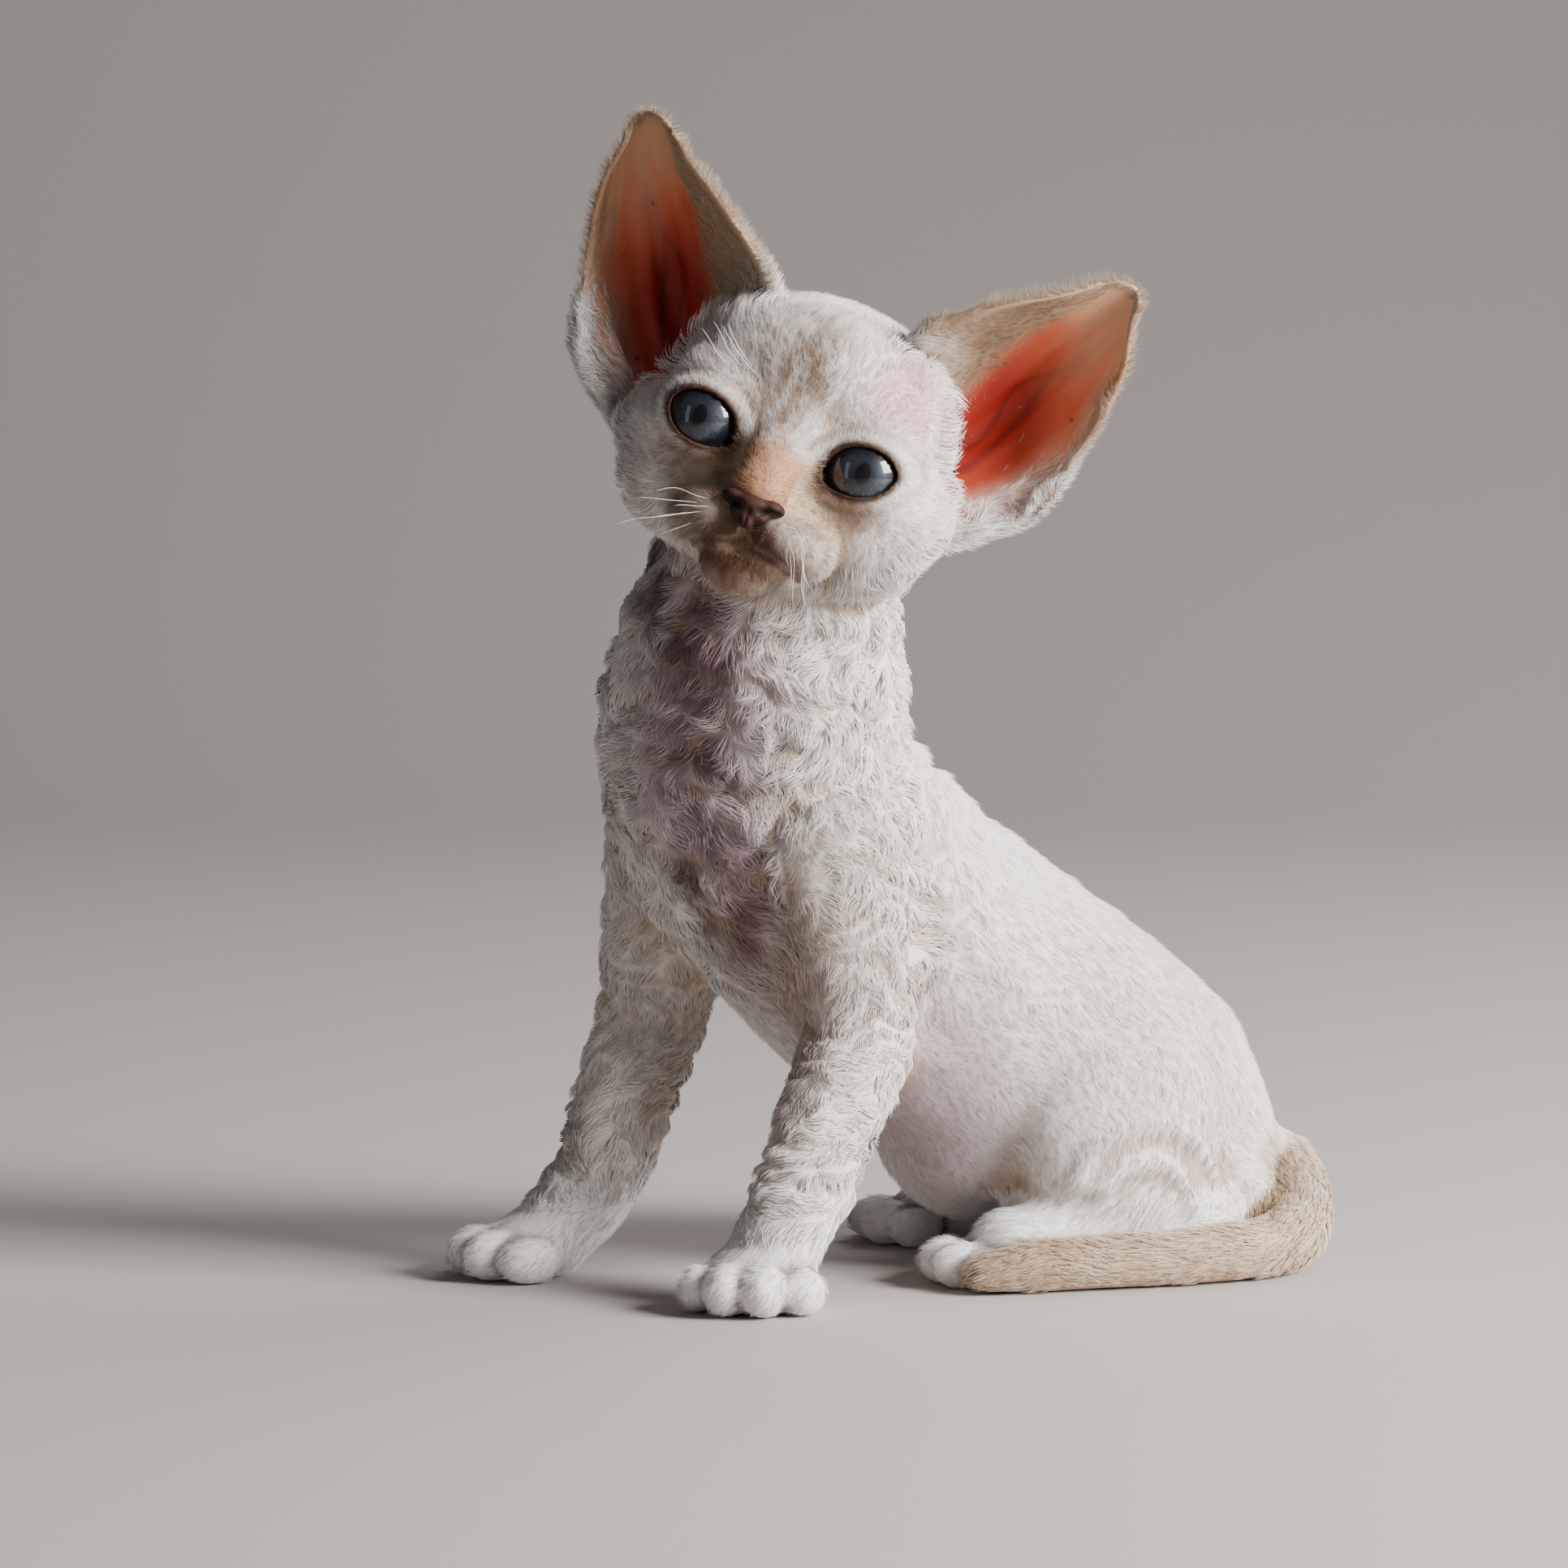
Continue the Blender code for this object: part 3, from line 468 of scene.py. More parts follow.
def lidOutline(angle):
    across, up = np.cos(angle), np.sin(angle)
    reach = np.where(across < 0, eyes["inner"], eyes["outer"])
    height = np.where(up > 0, eyes["top"], eyes["bottom"])
    x = reach * np.sign(across) * np.abs(across) ** np.where(across < 0, 0.92, 1.0)
    z = height * np.sign(up) * np.abs(up) ** np.where(up > 0, 1.1, 1.25)
    z = z - np.where(across < 0, 1.0 * across**4, 0.0) + np.where(across > 0, 0.3 * across**3, 0.0)
    return x, z


lidAngles = np.linspace(-math.pi, math.pi, 241)
lidX, lidZ = lidOutline(lidAngles)


def lidMeasure(local):
    angle = np.arctan2(local[:, 2], local[:, 0])
    own = np.arctan2(lidZ, lidX)
    order = np.argsort(own)
    reach = np.interp(angle, own[order], np.hypot(lidX, lidZ)[order], period=2 * math.pi)
    return np.hypot(local[:, 0], local[:, 2]) / reach, reach


def openLids(obj):
    mesh = obj.data
    for side in (-1, 1):
        bm = bmesh.new()
        bm.from_mesh(mesh)
        bm.verts.ensure_lookup_table()
        points = np.array([v.co for v in bm.verts])
        local = eyeAxes(points, side)
        measure, _reach = lidMeasure(local)
        near = (np.linalg.norm(local, axis=1) < eyes["radius"] + eyes["lidZone"]) & (local[:, 1] < -1)
        inside = near & (measure < 0.97)
        drop = [f for f in bm.faces if all(inside[v.index] for v in f.verts)]
        bmesh.ops.delete(bm, geom=drop, context="FACES")
        rim = [e for e in bm.edges if e.is_boundary]
        ring = list({v for e in rim for v in e.verts})
        # the edge of the lid, its inner face, and the floor of the socket behind the ball's front
        deep = np.array((eyes["lid"], eyes["lid"] * 0.65, -0.5, -2.5)) + eyes["radius"]
        inward = (1.0, 0.975, 0.95, 0.9)
        for step in range(4):
            if step:
                made = bmesh.ops.extrude_edge_only(bm, edges=rim)["geom"]
                rim = [g for g in made if isinstance(g, bmesh.types.BMEdge)]
                ring = [g for g in made if isinstance(g, bmesh.types.BMVert)]
            spots = eyeAxes(np.array([v.co for v in ring]), side)
            _measure, reach = lidMeasure(spots)
            angle = np.arctan2(spots[:, 2], spots[:, 0])
            x, z = np.cos(angle) * reach * inward[step], np.sin(angle) * reach * inward[step]
            y = -np.sqrt(np.maximum(deep[step] ** 2 - x**2 - z**2, 1.0))
            for vert, spot in zip(ring, fromEyeAxes(np.stack([x, y, z], axis=1), side)):
                vert.co = spot
        bmesh.ops.holes_fill(bm, edges=rim)
        bmesh.ops.triangulate(bm, faces=[f for f in bm.faces if len(f.verts) > 4])
        bm.to_mesh(mesh)
        bm.free()


def mouthDistance(head):
    spots = spotsAlong(skinForm["mouth"])
    flat = np.stack([np.abs(head[:, 0]), head[:, 2]], axis=1)
    best = np.full(len(head), 1e9)
    for a, b in zip(spots, spots[1:]):
        way = b - a
        t = np.clip((flat - a) @ way / (way @ way), 0, 1)
        best = np.minimum(best, np.linalg.norm(flat - a - t[:, None] * way, axis=1))
    best[head[:, 1] > 8] = 99
    return best


def cupOf(side):
    # middle and reach of the floor of an ear's cup, in the head's own axes
    centre, radii = skinForm["concha"]
    return np.array(centre) * (side, 1, 1), np.array(radii)


def hollows(mesh, passes):
    # how far each place lies below its smoothed surroundings, in millimetres
    points, normals = getPoints(mesh), getNormals(mesh)
    edges = np.empty(len(mesh.edges) * 2, dtype=np.int64)
    mesh.edges.foreach_get("vertices", edges)
    edges = edges.reshape(-1, 2)
    count = len(points)
    links = np.maximum(np.bincount(edges.ravel(), minlength=count), 1)[:, None]
    smooth = points.copy()
    for _step in range(passes):
        total = np.empty_like(smooth)
        for k in range(3):
            total[:, k] = np.bincount(edges[:, 0], smooth[edges[:, 1], k], count)
            total[:, k] += np.bincount(edges[:, 1], smooth[edges[:, 0], k], count)
        smooth = total / links
    return ((smooth - points) * normals).sum(axis=1) / mm


def curlZone(own, names):
    x, z = own[:, 0], own[:, 2]
    ruff = (names == "torso") * ramp(z, 46, 66) * (1 - ramp(x, 28, 46)) * (1 - ramp(z, 136, 150))
    leg = np.char.startswith(names, "fore") * ramp(z, 12, 20)
    back = (names == "torso") * ramp(z, 30, 50) * 0.35
    return np.maximum(ruff, np.maximum(leg * 0.8, back))


def shapeSkin(obj):
    mesh = obj.data
    points, normals = getPoints(mesh), getNormals(mesh)
    own, head = ownAxes(points), headAxes(points)
    names = np.array(zoneNames)[readZones(own)[0]]
    curly = curlZone(own, names)
    legs = np.char.startswith(names, "fore")
    # ripples that run across the lie of the coat on chest and forelegs
    warp = cloud(own, 10.0, 0) * 1.1 + cloud(own, 5.0, 1) * 0.4
    ripple = np.sin(2 * math.pi * (own[:, 2] / np.where(legs, 5.8, 8.5) + warp))
    knots = cloud(own * (1, 1, 1.5), 6.0, 2) + 0.5 * cloud(own, 3.2, 3)
    lift = curly * (np.where(legs, 0.42, 0.35) * ripple + np.where(legs, 0.25, 1.0) * knots)
    # the skin lies inside the solids by the depth of the coat
    coatDepth = skinForm["coatDepth"]
    depth = np.full(len(own), coatDepth["body"])
    depth[names == "head"] = coatDepth["head"]
    depth[names == "tail"] = coatDepth["tail"]
    depth = depth - curly * coatDepth["curls"]
    depth = depth + (np.minimum(depth, coatDepth["foot"]) - depth) * ramp(own[:, 2], 14, 5)
    move = lift - depth
    # lips, and the groove under the nose
    groove = mouthDistance(head)
    inFace = (names == "head") & (head[:, 1] < 8)
    move -= np.where(inFace, skinForm["mouthDepth"] * np.exp(-((groove / skinForm["mouthWidth"]) ** 2)), 0)
    for side in (-1, 1):
        local = eyeAxes(points, side)
        measure, _reach = lidMeasure(local)
        near = (np.linalg.norm(local, axis=1) < eyes["radius"] + eyes["lidZone"]) & (names == "head")
        beyond = measure - skinForm["foldAt"]
        swell = np.exp(-(((beyond + skinForm["swellInside"]) / skinForm["swellWidth"]) ** 2))
        fold = np.exp(-((beyond / skinForm["foldWidth"]) ** 2)) - skinForm["swell"] * swell
        move -= np.where(near, skinForm["foldDepth"] * fold, 0)
    points = points + normals * move[:, None] * mm
    # the floor of each ear's cup is let into the head
    head = headAxes(points)
    for side in (-1, 1):
        centre, radii = cupOf(side)
        local = (head - centre) / radii
        size = np.linalg.norm(local, axis=1)
        hit = size < 1
        way = np.array((-side * 0.75, 0.35, -0.35)) / radii
        way /= np.linalg.norm(way)
        p = local[hit]
        b = p @ way
        push = -b + np.sqrt(np.maximum(b * b - (p * p).sum(1) + 1, 0))
        head[hit] = (p + push[:, None] * way) * radii + centre
    points = head * mm @ headArray.T + headOrigin
    # nothing of the lids dips into the eyes
    for side in (-1, 1):
        centre = np.array(eyeCentre(side))
        away = points - centre
        distance = np.linalg.norm(away, axis=1)
        least = (eyes["radius"] + eyes["lid"]) * mm
        hit = distance < least
        points[hit] = centre + away[hit] / distance[hit, None] * least
    points[:, 2] = np.maximum(points[:, 2], skinForm["floor"] * mm)
    setPoints(mesh, points)


# Markings and painted shade: one rule of place gives the colour of skin and coat alike.
tints = {
    "cream": (0.80, 0.745, 0.695), "white": (0.88, 0.855, 0.825), "beige": (0.50, 0.37, 0.25),
    "tan": (0.44, 0.235, 0.13), "faceTan": (0.21, 0.118, 0.062), "tailTan": (0.56, 0.38, 0.23),
    "brown": (0.085, 0.036, 0.018), "shade": (0.10, 0.048, 0.045), "fold": (0.28, 0.145, 0.115),
    "lilac": (0.46, 0.35, 0.38), "pink": (0.66, 0.33, 0.33), "cup": (0.30, 0.04, 0.022),
    "rim": (0.010, 0.005, 0.004), "lip": (0.035, 0.012, 0.009),
}
# Marks on the head: tint, middle and reach in the head's own axes, then the share of the tint, and how much
# of it comes and goes in patches and in fine streaks.
headMarks = [
    ("faceTan", (-2, 6, 13), (13, 24, 26), 0.57, 0.41, 0.43),
    ("tan", (-1, -5, -6.2), (15.5, 18, 9.6), 1.3, 0, 0.4),
    ("faceTan", (-12, 0, -9), (13, 16, 11), 0.50, 0, 0.30),
    ("faceTan", (14, 0, -9.5), (15, 16, 10), 0.42, 0, 0.35),
    ("faceTan", (-8, -3, -15), (13, 16, 10), 0.75, 0, 0.30),
    ("faceTan", (9, -3, -16), (14, 16, 10), 0.62, 0, 0.35),
    ("faceTan", (0, -3, -24.5), (18, 24, 10), 0.85, 0, 0.3),
    # the brown along the mouth line is partly the muzzle's own colour and partly painted shadow under the
    # upper lip
    ("brown", (0, -6, -19.3), (14, 22, 7.5), 1.15, 0.25, 0),
    ("brown", (0, -8, -15.5), (7.0, 14, 5.5), 0.9, 0, 0),
    ("pink", (18, 9, 15), (10, 15, 11), 0.75, 0, 0.2),
    ("lilac", (-20, 9, 11), (9, 12, 9), 0.35, 0, 0),
]
# the tear line and the shade round each eye: tint, middle, reach and share
eyeMarks = [
    ("brown", (8.2, 2, -3.5), (3.4, 8, 4.6), 0.75),
    ("faceTan", (15, 0, -7.0), (10, 10, 4.5), 0.5),
    ("faceTan", (14, 0, 7.5), (9, 10, 4.0), 0.25),
]


def mixed(colours, tint, share):
    return colours + (np.array(tint) - colours) * np.clip(share, 0, 1)[:, None]


def blendTo(colours, name, share):
    return mixed(colours, tints[name], share)


def markingsAndShade(points, hollow):
    own, head = ownAxes(points), headAxes(points)
    zone, along, _spin, _flow = readZones(own)
    names = np.array(zoneNames)[zone]
    patch = cloud(own, 14.0, 3) * 0.5 + cloud(own, 5.0, 4) * 0.5
    colours = np.tile(tints["cream"], (len(points), 1))
    feet = (own[:, 2] < 16) & (names != "tail")
    colours = blendTo(colours, "white", np.where(feet, 0.8, 0.25 + 0.35 * patch))
    near = np.where(names == "head", 1.0, 0.0)
    fine = cloud(head * (1.6, 0.5, 0.6), 1.6, 2)
    haze = 0.10 + 0.14 * patch + 0.16 * fine
    colours = blendTo(colours, "faceTan", near * ramp(head[:, 1], 20, 4) * haze)
    for tint, middle, reach, share, patchy, streaked in headMarks:
        amount = share + patchy * patch + streaked * fine
        colours = blendTo(colours, tint, near * mound(head, middle, reach) * amount)
    for side in (-1, 1):
        for tint, middle, reach, share in eyeMarks:
            spot = (side * middle[0], middle[1], middle[2])
            colours = blendTo(colours, tint, near * mound(head, spot, reach) * share)
    x, y, z = own.T
    torso = names == "torso"
    colours = blendTo(colours, "lilac", torso * mound(own, (24, 38, 34), (28, 26, 42)) * 0.75)
    # painted shade: the middle of the chest, turned from the light, is darkened, most deeply in the gaps
    # between its curls
    chest = torso * mound(own, (-14, 12, 96), (24, 30, 62))
    colours = blendTo(colours, "lilac", chest * (0.85 + 0.5 * patch))
    centre = -15 + 0.10 * (110 - z) + 4 * cloud(own, 12.0, 1)
    chestGapShade = ramp(np.abs(x - centre), 10, 2) * ramp(y, 45, 30) * ramp(z, 52, 70)
    chestGapShade = chestGapShade * (0.75 + 1.1 * cloud(own, 4.5, 0))
    colours = blendTo(colours, "shade", torso * np.clip(chestGapShade, 0, 1) * 0.9)
    # painted shade low on the chest, between the forelegs
    colours = blendTo(colours, "fold", mound(own, (-4, 24, 58), (18, 24, 34)) * 0.5)
    warm = 0.35 * patch
    colours = blendTo(colours, "beige", mound(own, (66, 50, 42), (34, 38, 40)) * (0.30 + warm))
    foreleg = np.char.startswith(names, "fore")
    colours = blendTo(colours, "beige", foreleg * (0.28 + warm) * ramp(z, 12, 30))
    # the tail darkens towards its tip in soft rings
    onTail = names == "tail"
    colours = blendTo(colours, "tailTan", onTail * (0.75 + 0.3 * patch) * ramp(along, 0.0, 0.25))
    rings = 0.5 + 0.5 * np.sin(along * 46 + 1.5 * patch)
    ringed = onTail * rings * (0.25 + 0.5 * np.maximum(patch, 0))
    colours = blendTo(colours, "tan", ringed * ramp(along, 0.1, 0.5))
    colours = blendTo(colours, "brown", onTail * ramp(along, 0.75, 1.0) * 0.3)
    # painted shade in the creases: dark between the toes, beige elsewhere
    between = ramp(hollow, 0.02, 0.24) * np.where(feet, ramp(z, 11, 7), 0.0)
    colours = blendTo(colours, "shade", between * 0.8)
    colours = blendTo(colours, "beige", ramp(hollow, 0.03, 0.38) * np.where(feet, 0.0, 0.75))
    return colours


def skinColours(points, hollow):
    colours = markingsAndShade(points, hollow)
    head = headAxes(points)
    for side in (-1, 1):
        local = eyeAxes(points, side)
        measure, _reach = lidMeasure(local)
        near = np.linalg.norm(local, axis=1) < eyes["radius"] + eyes["rimZone"]
        colours = blendTo(colours, "rim", near * (1 - ramp(measure, 1.08, 1.26)))
        colours = blendTo(colours, "brown", near * (1 - ramp(measure, 1.10, 1.42)) * 0.6)
        # painted shade in the crease of the lid fold
        fold = np.exp(-(((measure - skinForm["foldAt"]) / 0.13) ** 2))
        colours = blendTo(colours, "faceTan", near * fold * 0.45)
        centre, radii = cupOf(side)
        colours = blendTo(colours, "cup", mound(head, centre, radii * 1.35) * 1.6)
    groove = mouthDistance(head)
    colours = blendTo(colours, "lip", np.exp(-((groove / 0.8) ** 2)) * 0.9)
    return colours * 0.96


def setTint(mesh, colours):
    tint = mesh.attributes.new("tint", "FLOAT_VECTOR", "POINT")
    tint.data.foreach_set("vector", np.ascontiguousarray(colours, dtype=np.float32).ravel())


# Materials: a tint kept on the points, made uneven by a fine grain.


def shaderOf(name):
    material = bpy.data.materials.new(name)
    material.use_nodes = True
    tree = material.node_tree
    return material, tree, tree.nodes["Principled BSDF"]


def node(tree, kind, **settings):
    made = tree.nodes.new(kind)
    for key, value in settings.items():
        if key in made.inputs.keys():
            made.inputs[key].default_value = value
        else:
            setattr(made, key, value)
    return made


def grainBump(tree, shader, size, strength, distance):
    coords = node(tree, "ShaderNodeTexCoord")
    grain = node(tree, "ShaderNodeTexNoise", Scale=size, Detail=4.0)
    tree.links.new(coords.outputs["Object"], grain.inputs["Vector"])
    bump = node(tree, "ShaderNodeBump", Strength=strength, Distance=distance)
    tree.links.new(grain.outputs["Fac"], bump.inputs["Height"])
    tree.links.new(bump.outputs["Normal"], shader.inputs["Normal"])
    return grain


def tintedMaterial(name, roughness, sheen, low, high, grainSize, bumpDepth, soft):
    material, tree, shader = shaderOf(name)
    tint = node(tree, "ShaderNodeAttribute", attribute_name="tint")
    grain = grainBump(tree, shader, grainSize, 0.6, bumpDepth)
    shade = node(tree, "ShaderNodeMapRange")
    shade.inputs["To Min"].default_value, shade.inputs["To Max"].default_value = low, high
    tree.links.new(grain.outputs["Fac"], shade.inputs["Value"])
    mixed = node(tree, "ShaderNodeVectorMath", operation="SCALE")
    tree.links.new(tint.outputs["Vector"], mixed.inputs[0])
    tree.links.new(shade.outputs["Result"], mixed.inputs["Scale"])
    tree.links.new(mixed.outputs["Vector"], shader.inputs["Base Color"])
    shader.inputs["Roughness"].default_value = roughness
    shader.inputs["Sheen Weight"].default_value = sheen
    shader.inputs["Sheen Roughness"].default_value = 0.4
    shader.inputs["Specular IOR Level"].default_value = 0.25
    if soft:
        shader.inputs["Subsurface Weight"].default_value = soft
        shader.inputs["Subsurface Radius"].default_value = (1.0, 0.45, 0.3)
        shader.inputs["Subsurface Scale"].default_value = 0.0007
    return material


# Finishes: how rough, the soft sheen, darkest and lightest grain, its size and depth, light let in.
finishes = {
    "velvetSkin": {
        "roughness": 0.62, "sheen": 0.15, "low": 0.90, "high": 1.08,
        "grainSize": 900.0, "bumpDepth": 0.0003, "soft": 0.12,
    },
    "softCoat": {
        "roughness": 0.6, "sheen": 0.3, "low": 0.92, "high": 1.06,
        "grainSize": 700.0, "bumpDepth": 0.00005, "soft": 0.0,
    },
    "earLining": {
        "roughness": 0.5, "sheen": 0.1, "low": 0.86, "high": 1.1,
        "grainSize": 260.0, "bumpDepth": 0.0003, "soft": 0.25,
    },
    "noseLeather": {
        "roughness": 0.68, "sheen": 0.0, "low": 0.8, "high": 1.15,
        "grainSize": 1500.0, "bumpDepth": 0.0002, "soft": 0.0,
    },
}
skinMaterial = tintedMaterial("velvetSkin", **finishes["velvetSkin"])
coatMaterial = tintedMaterial("softCoat", **finishes["softCoat"])
earMaterial = tintedMaterial("earLining", **finishes["earLining"])


def finishPiece(obj, material, slot, *nodes):
    obj.data.materials.clear()
    obj.data.materials.append(material)
    if not obj.data.has_custom_normals:
        obj.data.shade_smooth()
    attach(obj, "root")
    if nodes:
        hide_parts(*nodes)
    return obj


# The skin is shaped, its lids are opened, and it is thinned to its share of triangles.
skin = makeFlesh()
shapeSkin(skin)
openLids(skin)
thin = skin.modifiers.new("thin", "DECIMATE")
thin.ratio = skinForm["triangles"] / triangleCount(skin.data)
frozen(skin)
skinHollows = hollows(skin.data, skinForm["hollowPasses"])
setTint(skin.data, skinColours(getPoints(skin.data), skinHollows))
fleshNodes = ["head", "neck", "torso", "tail"]
fleshNodes += ["foreleg_left", "foreleg_right", "hindleg_left", "hindleg_right"]
finishPiece(skin, skinMaterial, "coat", *fleshNodes)
print("skin", triangleCount(skin.data))

# Eyes: the ball with its cornea's bulge, the iris painted by place round its own middle.
iris = {
    "radius": 4.95, "edge": 1.1, "ring": 6.1, "pupil": (1.3, 2.0), "gaze": {1: (0.6, 0.2), -1: (0.2, 0.4)},
    "black": (0.002, 0.002, 0.003, 1), "outer": (0.006, 0.007, 0.010, 1), "deep": (0.012, 0.016, 0.023, 1),
    "light": (0.052, 0.067, 0.092, 1), "white": (0.05, 0.028, 0.022, 1),
    "fibreCount": 3.2, "fibreStretch": 0.22, "fibreScale": 4.5,
}
cornea = {"bulge": 0.35, "sunk": 0.05, "wetness": 0.035, "bend": 1.45}


def makeEye(side, name):
    bm = bmesh.new()
    turn = headTurn.to_4x4() @ Matrix.Rotation(math.pi / 2, 4, "X")
    bmesh.ops.create_uvsphere(bm, u_segments=64, v_segments=48, radius=eyes["radius"] * mm, matrix=turn)
    centre = eyeCentre(side)
    look = Vector((side * iris["gaze"][side][0], -eyes["radius"], iris["gaze"][side][1])).normalized()
    look = headTurn @ look
    for vert in bm.verts:
        off = math.degrees(vert.co.angle(look))
        bulge = cornea["bulge"] * mm * max(0.0, math.cos(math.radians(min(off * 2.0, 90.0))))
        vert.co = vert.co.normalized() * (vert.co.length - cornea["sunk"] * mm + bulge) + centre
    obj = newObject(name, meshFrom(bm, name))
    material, tree, shader = shaderOf(name + "Glass")
    coords = node(tree, "ShaderNodeTexCoord")
    local = node(tree, "ShaderNodeMapping", vector_type="TEXTURE")
    local.inputs["Location"].default_value = centre
    across = headTurn.col[2].cross(-look).normalized() * -1
    axes = Matrix((across, -look, across.cross(-look))).transposed()
    local.inputs["Rotation"].default_value = axes.to_euler()
    local.inputs["Scale"].default_value = (mm, mm, mm)
    link = tree.links.new
    link(coords.outputs["Object"], local.inputs["Vector"])
    split = node(tree, "ShaderNodeSeparateXYZ")
    link(local.outputs["Vector"], split.inputs["Vector"])

    def maths(operation, a, b=None):
        made = node(tree, "ShaderNodeMath", operation=operation)
        for socket, value in zip(made.inputs, (a, b)):
            if value is None:
                continue
            if isinstance(value, (int, float)):
                socket.default_value = value
            else:
                link(value, socket)
        return made.outputs[0]

    x, z = split.outputs["X"], split.outputs["Z"]
    radius = maths("SQRT", maths("ADD", maths("MULTIPLY", x, x), maths("MULTIPLY", z, z)))
    px, pz = maths("DIVIDE", x, iris["pupil"][0]), maths("DIVIDE", z, iris["pupil"][1])
    pupil = maths("SQRT", maths("ADD", maths("MULTIPLY", px, px), maths("MULTIPLY", pz, pz)))
    # fibres: noise read along the direction from the pupil, stretched outwards
    angle = maths("ARCTAN2", z, x)
    fibreAt = node(tree, "ShaderNodeCombineXYZ")
    link(maths("MULTIPLY", maths("SINE", angle), iris["fibreCount"]), fibreAt.inputs["X"])
    link(maths("MULTIPLY", maths("COSINE", angle), iris["fibreCount"]), fibreAt.inputs["Y"])
    link(maths("MULTIPLY", radius, iris["fibreStretch"]), fibreAt.inputs["Z"])
    fibres = node(tree, "ShaderNodeTexNoise", Scale=iris["fibreScale"], Detail=5.0, Roughness=0.65)
    link(fibreAt.outputs["Vector"], fibres.inputs["Vector"])
    colour = node(tree, "ShaderNodeValToRGB")
    for stop, position, shade in zip(colour.color_ramp.elements, (0.36, 0.70), (iris["deep"], iris["light"])):
        stop.position, stop.color = position, shade
    link(fibres.outputs["Fac"], colour.inputs["Fac"])

    def layer(below, above, value, low, high):
        edge = node(tree, "ShaderNodeMapRange", interpolation_type="SMOOTHSTEP")
        edge.inputs["From Min"].default_value, edge.inputs["From Max"].default_value = low, high
        link(value, edge.inputs["Value"])
        mix = node(tree, "ShaderNodeMix", data_type="RGBA")
        link(edge.outputs["Result"], mix.inputs["Factor"])
        for number, source in ((6, below), (7, above)):
            if isinstance(source, tuple):
                mix.inputs[number].default_value = source
            else:
                link(source, mix.inputs[number])
        return mix.outputs[2]

    # from the pupil outwards: deep, the fibres, the dark edge, the rest of the ball, shade under the lid
    tone = layer(iris["deep"], colour.outputs["Color"], radius, 1.2, 3.6)
    tone = layer(tone, iris["outer"], radius, iris["radius"] - iris["edge"], iris["radius"])
    tone = layer(tone, iris["white"], radius, iris["ring"] + 0.6, iris["ring"] + 1.3)
    tone = layer(tone, iris["outer"], z, 0.8, 4.2)
    tone = layer(iris["black"], tone, pupil, 0.92, 1.08)
    link(tone, shader.inputs["Base Color"])
    shader.inputs["Roughness"].default_value = 0.45
    shader.inputs["Specular IOR Level"].default_value = 0.2
    shader.inputs["Coat Weight"].default_value = 1.0
    shader.inputs["Coat Roughness"].default_value = cornea["wetness"]
    shader.inputs["Coat IOR"].default_value = cornea["bend"]
    return finishPiece(obj, material, "eye", "eye_left" if side > 0 else "eye_right")


makeEye(1, "eyeball_left")
makeEye(-1, "eyeball_right")
print("eyes")

# Nose leather: two pads and a bridge fused, then the nostrils and the groove pressed in.
nose = {
    "voxel": 0.28, "passes": 22, "nostril": [(2.2, -12.6, -12.2), (3.3, -11.4, -11.7), (4.9, -10.2, -11.4)],
    "nostrilWidth": 0.95, "nostrilDepth": 1.1, "grooveWidth": 0.5, "grooveDepth": 0.35,
    "leather": (0.040, 0.013, 0.008), "hollow": (0.012, 0.005, 0.004),
}


def makeNose():
    bm = bmesh.new()
    for side in (-1, 1):
        blob(bm, inHead(side * 3.4, -9.1, -10.9), (2.7, 2.6, 1.6), headTurn)
        blob(bm, inHead(side * 1.8, -9.6, -12.4), (2.0, 2.4, 1.7), headTurn)
    blob(bm, inHead(0, -9.9, -11.2), (3.8, 2.4, 1.8), headTurn)
    blob(bm, inHead(0, -9.9, -13.9), (1.5, 2.3, 2.0), headTurn)
    obj = fused("nose_leather", bm, nose["voxel"], nose["passes"])
    points, normals = getPoints(obj.data), getNormals(obj.data)
    head = headAxes(points)
    dark = np.zeros(len(head))
    for side in (-1, 1):
        for spot in spotsAlong(nose["nostril"]) * (side, 1, 1):
            away = np.linalg.norm((head - spot) * (1, 0.75, 1), axis=1)
            dark = np.maximum(dark, np.exp(-((away / nose["nostrilWidth"]) ** 2)))
    philtrum = np.exp(-((head[:, 0] / nose["grooveWidth"]) ** 2)) * (1 - ramp(head[:, 2], -13.0, -11.0))
    pressed = dark * nose["nostrilDepth"] + philtrum * nose["grooveDepth"]
    points -= normals * (pressed * mm)[:, None]
    setPoints(obj.data, points)
    colours = np.tile(nose["leather"], (len(points), 1)) * (1 + 0.25 * cloud(head, 1.4, 2))[:, None]
    # painted shade: the nostrils and the groove down the middle are darkened
    setTint(obj.data, mixed(colours, nose["hollow"], dark * 1.5 + philtrum * 0.5))
    return obj


noseMaterial = tintedMaterial("noseLeather", **finishes["noseLeather"])
finishPiece(makeNose(), noseMaterial, "nose_leather", "nose")

